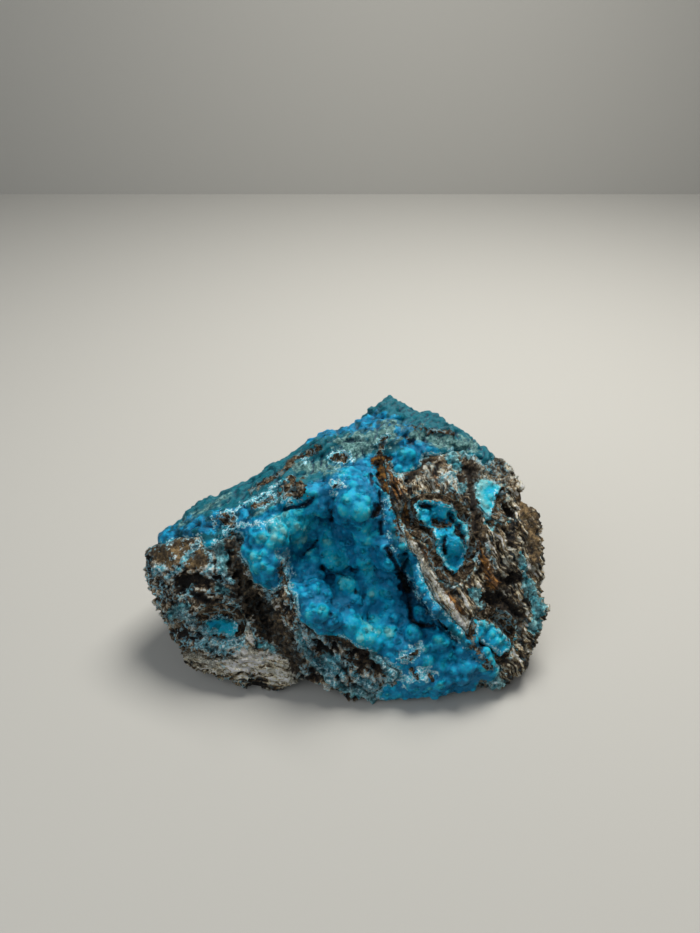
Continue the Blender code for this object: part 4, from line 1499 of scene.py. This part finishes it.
@dataclass
class LimoniteRock:
    """The brown matrix: broken, layered and veined."""

    node: str = "limonite_matrix"
    voxel: float = 0.75
    bare_from: float = 0.7
    front_from: float = -4.0
    layer_height: float = 1.3
    vein_height: float = 0.4
    pit_depth: float = 1.1
    hole_depth: float = 1.1
    crag_height: float = 0.7
    grain_height: float = 0.35
    ridge_height: float = 0.7
    least_relief: float = 0.15
    finish: LimoniteFinish = field(default_factory=LimoniteFinish)

    def build(self, crust: BVHTree) -> Object:
        """Makes the rock.

        Args:
            crust: All crusts' surfaces.

        Returns:
            The dressed piece.
        """
        work = Workpiece.of_node(self.node)
        work.remesh(self.voxel)
        work.smooth(2)
        bare = distances(work.points(), crust, 1.2) > self.bare_from
        work.refine(bare & (work.points()[:, 2] > self.front_from))
        ground = Ground.of_rock(work, crust)
        tones = {
            tone: painted(strokes, ground.points, 0.7 * ground.ragged) * ground.facing
            for tone, strokes in TONES.items()
        }
        relief = self.relief(ground, tones)
        work.raise_by(relief)
        tones.update(self.grounded(ground, tones, relief))
        for tone, values in tones.items():
            work.note(tone, values)
        work.contain()
        return work.finished("limonite_rock", self.finish.material(), self.node, "limonite")

    def relief(self, ground: Ground, tones: Shares) -> np.ndarray:
        """The heights of layers, crags, ridges, grains and veins, less those of pits and holes.

        Args:
            ground: The rock's zones.
            tones: The painted share of each tone.

        Returns:
            The height at each vertex, which dies away at a crust's edge.
        """
        points, left = ground.points, ground.left()
        fin_layers = strata(ground.bent, FIN_ACROSS, 3.4, 0.8, 6)
        thin_layers = strata(ground.bent, FIN_ACROSS, 1.5, 1.1, 7)
        ledge_layers = strata(ground.bent, LEDGES_ACROSS, 1.7, 1.0, 9)
        crags = fractal(points, 3.2, 4, seed=10)
        grains = fractal(points, 1.1, 2, seed=14)
        pits = ease(fractal(points, 1.7, 2, seed=11), 0.15, 0.45)
        calm = np.clip(1 - 0.75 * tones[Tone.TAN] - 0.6 * tones[Tone.CREAM], 0, 1)
        low_layers = ground.plates * (ground.plate_layers - 0.5) + ground.ledges * (ledge_layers - 0.5)
        relief = self.crag_height * crags * np.maximum(left, 0.5) * calm
        relief += self.layer_height * (ground.right * (0.5 * fin_layers + 0.3 * thin_layers - 0.4))
        relief += self.layer_height * 0.7 * low_layers
        relief += self.grain_height * grains * calm + self.ridge_height * (ground.ridges - 0.3) * calm
        relief -= self.pit_depth * pits * calm * (0.4 + 0.6 * np.maximum(left, ground.plates))
        relief -= self.hole_depth * ease(tones[Tone.HOLE_SHADE], 0.45, 0.9)
        relief += self.vein_height * ease(tones[Tone.PALE], 0.4, 0.7)
        return relief * np.maximum(ease(ground.gap, 0.3, 1.4), self.least_relief)

    @staticmethod
    def grounded(ground: Ground, tones: Shares, relief: np.ndarray) -> Shares:
        """The tones that follow the rock's zones, relief and crusts.

        Args:
            ground: The rock's zones.
            tones: The painted share of each tone.
            relief: The height at each vertex.

        Returns:
            The share of each of those tones at each vertex.
        """
        layers = np.maximum(ground.right, 0.8 * ground.ledges)
        layers = layers * (1 - 0.5 * ease(ground.points[:, 1], 12, 18))
        plate_crests = 0.62 * ground.plates * ease(ground.plate_layers, 0.35, 0.8)
        plate_pale = plate_crests * ground.patches(6, 12, -0.35, 0.2)
        web = 0.6 * (1 - 0.7 * ground.right) * ease(ground.ridges, 0.35, 0.8)
        web = web * ground.patches(7, 23, -0.25, 0.15) * (1 - tones[Tone.EARTH])
        film = 0.75 * np.clip(1.3 - 0.6 * ground.gap, 0, 1) * (0.6 + 0.8 * ground.ragged)
        return {
            Tone.PHASE: ground.phase(),
            # Painted light on crests and painted shade in low ground, from the relief's height.
            Tone.RELIEF_SHADE: np.clip(0.6 + 0.45 * relief, 0, 1),
            Tone.LAYERS: layers * (0.3 + 0.7 * ground.facing),
            Tone.PALE: np.max([tones[Tone.PALE], plate_pale, web, film], axis=0),
            Tone.TEAL: np.maximum(tones[Tone.TEAL], 0.5 * np.clip(1.3 - 0.5 * ground.gap, 0, 1)),
        }


@dataclass(frozen=True)
class Globule:
    """A ball that has grown on the crust, whose tone runs from 0, deep blue, to 1, pale."""

    centre: Vector
    radius: float
    tone: float


@dataclass(frozen=True)
class Growth:
    """How globules of one size class stand on a crust."""

    smallest: float
    largest: float
    closeness: float
    sunk: float
    share: float
    seed: int
    patch_width: float = 6.0
    ripple_width: float = 2.5

    def radius(self, point: Vector) -> float:
        """How large a globule grows at a place.

        Args:
            point: The place.

        Returns:
            Its radius, 0 where none grows.
        """
        patch = 0.5 + 0.5 * noise.noise(point / self.patch_width + Vector((self.seed, 0, 0)))
        if patch > self.share:
            return 0.0
        size = 0.5 + noise.noise(point / self.ripple_width + Vector((0, self.seed, 0)))
        return self.smallest + (self.largest - self.smallest) * min(max(size, 0.0), 1.0)


def apart(point: Vector, radius: float, taken: dict, closeness: float) -> bool:
    """Lets a globule take its place, if it keeps its distance from the others.

    Args:
        point: The globule's place.
        radius: Its radius.
        taken: The globules that have their places, by cells.
        closeness: The least distance, as a share of both radii.

    Returns:
        Whether it has taken it.
    """
    cell = tuple(math.floor(c / CROWD_CELL) for c in point)
    for step in itertools.product((-1, 0, 1), repeat=3):
        for other, far in taken.get(tuple(c + s for c, s in zip(cell, step)), ()):
            if (point - other).length < closeness * (radius + far):
                return False
    taken.setdefault(cell, []).append((point, radius))
    return True


@dataclass
class Crust:
    """One patch of hemimorphite: globules that have grown together, pale and broken at its edge."""

    node: str
    name: str
    growths: tuple[Growth, ...]
    voxel: float = 0.3
    clearance: float = 1.1
    least_radius: float = 0.35
    back_from: float = -7.0
    bead_sunk: float = 0.05
    grain_reach: float = 0.9
    grain_radius: float = 0.42
    grain_growth: float = 0.35
    grain_closeness: float = 0.8
    grain_tone: float = 0.6
    lump_height: float = 0.16
    lump_size: float = 1.1
    fold_height: float = 0.6
    lip: float = 0.55
    cave_depth: float = 1.4
    bowl_depth: float = 0.35
    thinnest: float = 0.4
    bed_reach: float = 0.9
    shade_reach: float = 9.0
    # How far the crust is spared the painted shade of closed places and creases.
    light: float = 0.0
    tone: float = 0.0
    seed: int = 5
    around: Surroundings = field(init=False)
    work: Workpiece = field(init=False)
    gap: np.ndarray = field(init=False)
    globules: list[Globule] = field(init=False, default_factory=list)

    def growing(self, points: np.ndarray) -> np.ndarray:
        """How large globules grow at places, as a share."""
        return np.ones(len(points))

    def slope(self, points: np.ndarray) -> np.ndarray:
        """How far each point belongs to a smooth slope."""
        return np.zeros(len(points))

    def build(self, around: Surroundings, material: Material) -> Object:
        """Makes the crust.

        Args:
            around: The solids around it.
            material: The finish.

        Returns:
            The dressed piece.
        """
        self.around = around
        self.work = Workpiece.of_node(self.node)
        self.work.remesh(self.voxel)
        self.work.smooth(6)
        self.swell()
        self.work.smooth(3)
        for growth in self.growths:
            self.grow(growth)
        self.bed()
        self.gap = distances(self.work.points(), around.rock, 4.0)
        self.carve()
        self.settle()
        for tone, values in self.tones().items():
            self.work.note(tone, values)
        self.work.contain()
        return self.work.finished(self.name, material, self.node, "hemimorphite")

    def swell(self) -> None:
        """Lifts the crust's mounds and sinks its dells, but not into the rock."""
        points = self.work.points()
        gap = distances(points, self.around.rock, 3.0)
        swell = (domes(MOUNDS, points) - np.minimum(domes(DELLS, points), 0.6 * gap)) * ease(gap, 0.4, 1.2)
        self.work.place(points + swell[:, None] * OUT)

    def grow(self, growth: Growth) -> None:
        """Grows one size class, the last with beads and rim grains, and fuses it with the crust.

        Args:
            growth: The size class.
        """
        fresh = self.scattered(growth)
        if growth is self.growths[-1]:
            fresh += self.beads() + self.rim_grains()
        self.work.add_balls(fresh)
        self.work.remesh(self.voxel)
        self.work.smooth(1)
        self.globules += fresh

    def strewn(self, wanted: np.ndarray, seed: int) -> Iterator[tuple[int, Vector, Vector]]:
        """Goes through vertices in a random order.

        Args:
            wanted: Which vertices.
            seed: Which random order.

        Returns:
            For each its number, its place and its normal.
        """
        points, normals = self.work.points(), self.work.normals()
        order = np.flatnonzero(wanted).tolist()
        random.Random(seed).shuffle(order)
        for i in order:
            yield i, Vector(points[i]), Vector(normals[i])

    def scattered(self, growth: Growth) -> list[Globule]:
        """Scatters globules of one size class on the crust's outer side.

        Args:
            growth: The size class.

        Returns:
            The globules.
        """
        points = self.work.points()
        free = distances(points, self.around.rock, 3.0) > self.clearance
        ages, growing = self.ages(points), self.growing(points)
        room = 0.2 + 0.6 * np.maximum(self.around.edge_distances(points), 0)
        taken: dict = {}
        globules = []
        for i, point, normal in self.strewn(free & (points[:, 2] > self.back_from), growth.seed):
            radius = min(growth.radius(point) * growing[i], room[i])
            if radius > self.least_radius and apart(point, radius, taken, growth.closeness):
                globules.append(Globule(point - normal * radius * growth.sunk, radius, ages[i]))
        return globules

    @staticmethod
    def ages(points: np.ndarray) -> np.ndarray:
        """The tones of globules, which go with their neighbours' but for a share of their own.

        Args:
            points: Places, one a row.

        Returns:
            The tone at each place.
        """
        ragged = fractal(points, 2.5, 2, seed=6)
        own = np.array([noise.cell(place) for place in (points * 7.7).tolist()])
        drift = 0.34 + 0.3 * ripple(points, 4.5, 1) + 0.25 * (own - 0.5)
        drift += 0.16 * domes(MOUNDS, points) - 0.16 * domes(DELLS, points)
        drift += 0.35 * painted(MOSSY, points, ragged) - 0.28 * painted(DEEP_BLUE, points, ragged)
        return np.clip(drift, 0, 1)

    def beads(self) -> list[Globule]:
        """Drops the globules that have places of their own on the crust from far out.

        Returns:
            Those that land on it.
        """
        tree = surface_tree(self.work.mesh)
        globules = []
        for bead in BEADS:
            point, normal, _, _ = tree.ray_cast(Vector((*bead.place, DROP_HEIGHT)), Vector((0, 0, -1)))
            if point is not None and normal.z > 0:
                room = 0.3 + 0.7 * max(self.around.edge_distances(np.array([tuple(point)]))[0], 0)
                radius = min(bead.radius, room)
                globules.append(Globule(point - normal * radius * self.bead_sunk, radius, bead.tone))
        return globules

    def rim_grains(self) -> list[Globule]:
        """Strews small grains along the crust's edge, which cover its seam with the rock.

        Returns:
            The grains.
        """
        points = self.work.points()
        near = self.around.edge_distances(points) < self.grain_reach
        near &= points[:, 2] > self.back_from - 0.5
        taken: dict = {}
        grains = []
        for _, point, normal in self.strewn(near, self.seed + 1):
            share = noise.noise(point / 1.3)
            radius = self.grain_radius + self.grain_growth * max(share, 0.0)
            covered = self.around.solids.ray_cast(point + normal * 0.4, normal, 4.0)[0] is not None
            if share >= -0.3 and not covered and apart(point, radius, taken, self.grain_closeness):
                grains.append(Globule(point, radius, self.grain_tone))
        return grains

    def bed(self) -> None:
        """Moves what nearly touches the rock onto it."""
        points = self.work.points()
        for i, place in enumerate(points.tolist()):
            nearest, _, _, far = self.around.rock.find_nearest(place, self.bed_reach)
            if nearest is not None:
                share = min((self.bed_reach - far) / 0.4, 1.0)
                points[i] += share * (1 + 0.12 / max(far, 0.1)) * (np.array(nearest) - points[i])
        self.work.place(points)

    def carve(self) -> None:
        """Gives the crust its lumps, the slope's folds, its caves and its bowls."""
        points = self.work.points()
        folds = strata(points, SLOPE_ACROSS, 3.2, 1.6, 13) + 0.8 * fractal(points, 2.6, 3, seed=15)
        lumps = self.lump_height * (0.5 - cells(points, self.lump_size, seed=2))
        lumps += self.fold_height * self.slope(points) * (folds - 0.7)
        self.work.raise_by(lumps * ease(self.gap, 0.6, 1.5))
        caves = ease(painted(CAVES_AND_SHADOWS, points, 0.8 * fractal(points, 1.6, 3, seed=2)), 0.35, 0.75)
        bowls = ease(painted(BOWLS, points, np.zeros(len(points))), 0.2, 1.0)
        hollow = self.cave_depth * caves + self.bowl_depth * bowls
        hollow = np.minimum(hollow, np.maximum(self.gap - self.thinnest, 0))
        self.work.place(self.work.points() - hollow[:, None] * OUT)

    def settle(self) -> None:
        """Leaves the crust's edge as it has grown."""

    def tones(self) -> Shares:
        """Finds the crust's tones in its last shape.

        Returns:
            The share of each tone at each vertex.
        """
        points = self.work.points()
        ragged = fractal(points, 1.6, 3, seed=2)
        lit = painted(LIT, points, ragged)
        free = self.exposure(points, self.work.normals())
        fine, broad = self.work.hollowness(3), self.work.hollowness(24)
        # Painted shade in fine and broad creases, less where the crust is spared shade.
        crease_shade = (ease(fine, 0.01, 0.09) + 0.8 * ease(broad, 0.05, 0.5)) * (1 - 0.8 * self.light)
        rimed, lip = self.rim(points, ragged)
        return {
            # How open each place lies, which the finish turns into painted shade: SHADED makes it less
            # open, LIT and the crust's light more.
            Bloom.OPEN: free + self.light - 0.35 * painted(SHADED, points, ragged) + 0.25 * lit,
            # Painted light on crowns, from how far smoothing lowers them.
            Bloom.CROWN_LIGHT: ease(-fine, 0.0, 0.06) + ease(-broad, 0.0, 0.35),
            Bloom.CREASE_SHADE: crease_shade * (1 - 0.6 * lit),
            # LIT also paints a paler tone: painted light.
            Bloom.AGE: self.blended(points) + self.tone + 0.2 * lit,
            Bloom.SLOPE: np.maximum(self.slope(points), 0.6 * painted(FLANK, points, ragged)),
            Bloom.RIM: rimed,
            Bloom.BROKEN: np.maximum(painted(BROKEN, points, ragged), lip),
            Bloom.GOLDEN: painted(GOLDEN, points, ragged),
            Bloom.MOSS: painted(MOSSY, points, ragged),
            Bloom.AZURE: painted(DEEP_BLUE, points, ragged),
            Bloom.CAVE_SHADE: painted(CAVES_AND_SHADOWS, points, 0.8 * ragged),
        }

    def exposure(self, points: np.ndarray, normals: np.ndarray) -> np.ndarray:
        """How open the crust lies.

        Args:
            points: The crust's vertices.
            normals: Their outward normals.

        Returns:
            The openness of each, a half where the crust meets the rock.
        """
        free = np.full(len(points), 0.5)
        shown = self.gap > 0.5
        free[shown] = openness(points[shown], normals[shown], self.around.solids, self.shade_reach)
        return free

    def rim(self, points: np.ndarray, ragged: np.ndarray) -> tuple[np.ndarray, np.ndarray]:
        """The crust's edge.

        Args:
            points: The crust's vertices.
            ragged: A noise at each of them.

        Returns:
            The share of pale rime and the share of broken rock at each vertex.
        """
        edge = self.around.edge_distances(points)
        patchy = 0.5 * ripple(points, 2.5, 16)
        near = np.clip(0.95 - 0.7 * edge + patchy, 0, 1)
        rimed = np.maximum(near, 0.85 * painted(RIMED, points, ragged))
        rimed = np.maximum(rimed, 0.75 * painted((FIN_RIM,), points, ragged))
        return rimed, self.lip * np.clip(1.1 - edge - patchy, 0, 1)

    def blended(self, points: np.ndarray) -> np.ndarray:
        """Spreads the globules' tones over the crust.

        Args:
            points: The crust's vertices.

        Returns:
            The tone of each, which is that of the globules near it.
        """
        tree = mark_tree([ball.centre for ball in self.globules])
        tones = self.ages(points)
        for i, place in enumerate(points.tolist()):
            total, weights = 0.3 * tones[i], 0.3
            for _, j, far in tree.find_n(place, 6):
                weight = math.exp(-3 * max(far - self.globules[j].radius, -0.2))
                total += weight * self.globules[j].tone
                weights += weight
            tones[i] = total / weights
        return tones


@dataclass
class MainCrust(Crust):
    """The crust of the basin, the fissure, the notch and the slope, which is smoother than the rest."""

    def growing(self, points: np.ndarray) -> np.ndarray:
        """How large globules grow: small on the slope and none on the fin's rim.

        Args:
            points: Places, one a row.

        Returns:
            The share of their full size at each place.
        """
        basin = self.in_basin(points)
        upper = np.clip((points[:, 0] + 12) / 14, 0, 1)
        rim = ease(FIN_RIM.distance(points), FIN_RIM.half_width, 2 * FIN_RIM.half_width)
        in_basin = np.where(basin > 0.35, 0.5 + 0.5 * basin, 0)
        return rim * np.maximum(np.maximum(in_basin, 0.7 * upper), 0.5)

    def slope(self, points: np.ndarray) -> np.ndarray:
        """How far each point belongs to the slope."""
        return 1 - self.in_basin(points)

    @staticmethod
    def in_basin(points: np.ndarray) -> np.ndarray:
        """How far places lie in the basin or the notch.

        Args:
            points: Places, one a row.

        Returns:
            0 on the slope to 1, for each place.
        """
        x, y = points[:, 0], points[:, 1]
        border = 6 - 5 * np.clip((-23 - x) / 5, 0, 1) + 0.55 * np.maximum(x + 22, 0)
        border -= 0.2 * np.maximum(x - 2, 0) + 1.2 * np.maximum(x - 19, 0)
        return np.clip(1 - (y - border) / 4 + 0.3 * ripple(points, 5.0), 0, 1)


@dataclass
class PocketCrust(Crust):
    """A small crust that lines a pocket of the rock, inside an outline."""

    outline: Outline = field(kw_only=True)

    def settle(self) -> None:
        """Lowers what lies outside the outline onto the rock, as broken ground."""
        points = self.work.points()
        outside = ease(-self.outline.inside(points), -0.1, 1.0)
        ground = 0.45 * fractal(points, 1.6, 4, seed=21) - np.maximum(self.gap - 0.2, 0)
        self.work.place(points + (outside * ground)[:, None] * OUT)

    def rim(self, points: np.ndarray, ragged: np.ndarray) -> tuple[np.ndarray, np.ndarray]:
        """The crust's edge along its outline.

        Args:
            points: The crust's vertices.
            ragged: A noise at each of them.

        Returns:
            The share of pale rime and the share of broken rock at each vertex.
        """
        inside = self.outline.inside(points) + 0.9 * ragged
        return 0.7 * np.clip(1.1 - np.abs(inside - 0.3) / 0.7, 0, 1), ease(-inside, -0.2, 0.3)


@dataclass(frozen=True)
class Studio:
    """A plain pale floor and wall, soft light and the camera."""

    floor_colour: Colour = (0.38, 0.375, 0.35)
    floor_roughness: float = 0.9
    floor_size_m: tuple[float, float] = (3.0, 1.6)
    wall_y_m: float = 0.43
    wall_rise_m: tuple[float, float, float] = (0.0, 0.02, 1.0)
    room_colour: Colour = (0.9, 0.93, 1.0)
    room_light: float = 0.2
    lens_mm: float = 27.05
    sensor_mm: float = 36.0
    nearest_m: float = 0.005
    camera_place_m: tuple[float, float, float] = (0.00125, -0.13296, 0.138)
    camera_tilt: float = math.radians(55)

    def build(self) -> None:
        """Makes the floor, the wall, the lights, the world and the camera."""
        self.add_backdrop()
        self.add_light("key", (0.10, 0.16, 0.42), 0.22, 3.0, (1.0, 0.97, 0.92))
        self.add_light("fill", (-0.30, -0.30, 0.40), 0.5, 1.2, (0.9, 0.95, 1.0))
        world = bpy.data.worlds.new("soft room")
        world.use_nodes = True
        background = world.node_tree.nodes["Background"]
        background.inputs[0].default_value = (*self.room_colour, 1)
        background.inputs[1].default_value = self.room_light
        bpy.context.scene.world = world
        bpy.context.scene.view_settings.view_transform = "Standard"
        self.add_camera()

    def add_backdrop(self) -> None:
        """Makes a floor that bends up into a wall."""
        width, depth = self.floor_size_m
        bm = bmesh.new()
        bmesh.ops.create_grid(bm, x_segments=1, y_segments=1, size=0.5)
        bmesh.ops.scale(bm, vec=(width, depth, 1), verts=bm.verts)
        bmesh.ops.translate(bm, vec=(0, self.wall_y_m - depth / 2, 0), verts=bm.verts)
        far = [e for e in bm.edges if all(v.co.y > self.wall_y_m - 0.01 for v in e.verts)]
        rise = bmesh.ops.extrude_edge_only(bm, edges=far)["geom"]
        top = [g for g in rise if isinstance(g, bmesh.types.BMVert)]
        bmesh.ops.translate(bm, vec=self.wall_rise_m, verts=top)
        mesh = meshed(bm, "floor")
        plain = Nodes("plain floor")
        colour = (*self.floor_colour, 1)
        mesh.materials.append(plain.finished(Base_Color=colour, Roughness=self.floor_roughness))
        linked("floor", mesh)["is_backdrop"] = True

    @staticmethod
    def add_light(
        name: str, place: tuple[float, float, float], size: float, power: float, colour: Colour,
    ) -> None:
        """Adds a square light that looks at the specimen.

        Args:
            name: The light's name.
            place: Where it hangs, in metres.
            size: Its side in metres.
            power: Its power in watts.
            colour: Its colour.
        """
        light = bpy.data.lights.new(name, "AREA")
        light.size = size
        light.energy = power
        light.color = colour
        holder = linked(name, light)
        holder.location = place
        holder.rotation_euler = (-Vector(place)).to_track_quat("-Z", "Y").to_euler()

    def add_camera(self) -> None:
        """Adds the camera."""
        camera = bpy.data.cameras.new("camera")
        camera.lens = self.lens_mm
        camera.sensor_width = self.sensor_mm
        camera.sensor_fit = "AUTO"
        camera.clip_start = self.nearest_m
        holder = linked("camera", camera)
        holder.location = self.camera_place_m
        holder.rotation_euler = (self.camera_tilt, 0, 0)
        bpy.context.scene.camera = holder


CRUSTS: tuple[Crust, ...] = (
    MainCrust(
        "main_hemimorphite_crust", "main_crust",
        (Growth(1.6, 3.2, 0.8, 0.45, 0.62, 3), Growth(0.75, 1.5, 0.68, 0.1, 0.72, 11)), voxel=0.45,
    ),
    PocketCrust(
        "twin_pocket_crust", "twin_pocket_lining", (Growth(0.6, 1.5, 0.62, 0.4, 0.6, 4),),
        outline=TWIN_OUTLINE, light=0.7, tone=0.3,
    ),
    PocketCrust(
        "shoulder_pocket_crust", "shoulder_lining", (Growth(0.6, 1.2, 0.62, 0.4, 0.7, 5),),
        outline=SHOULDER_OUTLINE, light=0.3, tone=0.35,
    ),
    PocketCrust(
        "corner_pocket_crust", "corner_lining", (Growth(0.5, 1.0, 0.62, 0.4, 0.8, 6),),
        outline=CORNER_OUTLINE, light=0.7, tone=0.3,
    ),
    PocketCrust(
        "cheek_pocket_crust", "cheek_lining", (Growth(0.5, 1.0, 0.62, 0.4, 0.8, 7),),
        outline=CHEEK_OUTLINE, light=0.5, tone=0.35,
    ),
)


def main() -> None:
    """Builds all pieces and works out the boxes of the CAD solids and of what was built."""
    logging.basicConfig(level=logging.INFO, format="%(message)s")
    rock = LimoniteRock()
    around = Surroundings.of_frame(rock.node, [crust.node for crust in CRUSTS])
    rock.build(around.crusts)
    finish = HemimorphiteFinish().material()
    for crust in CRUSTS:
        crust.build(around, finish)
    Studio().build()
    [[list(corner) for corner in box] for box in (CAD_BOX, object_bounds())]


if __name__ == "__main__":
    main()
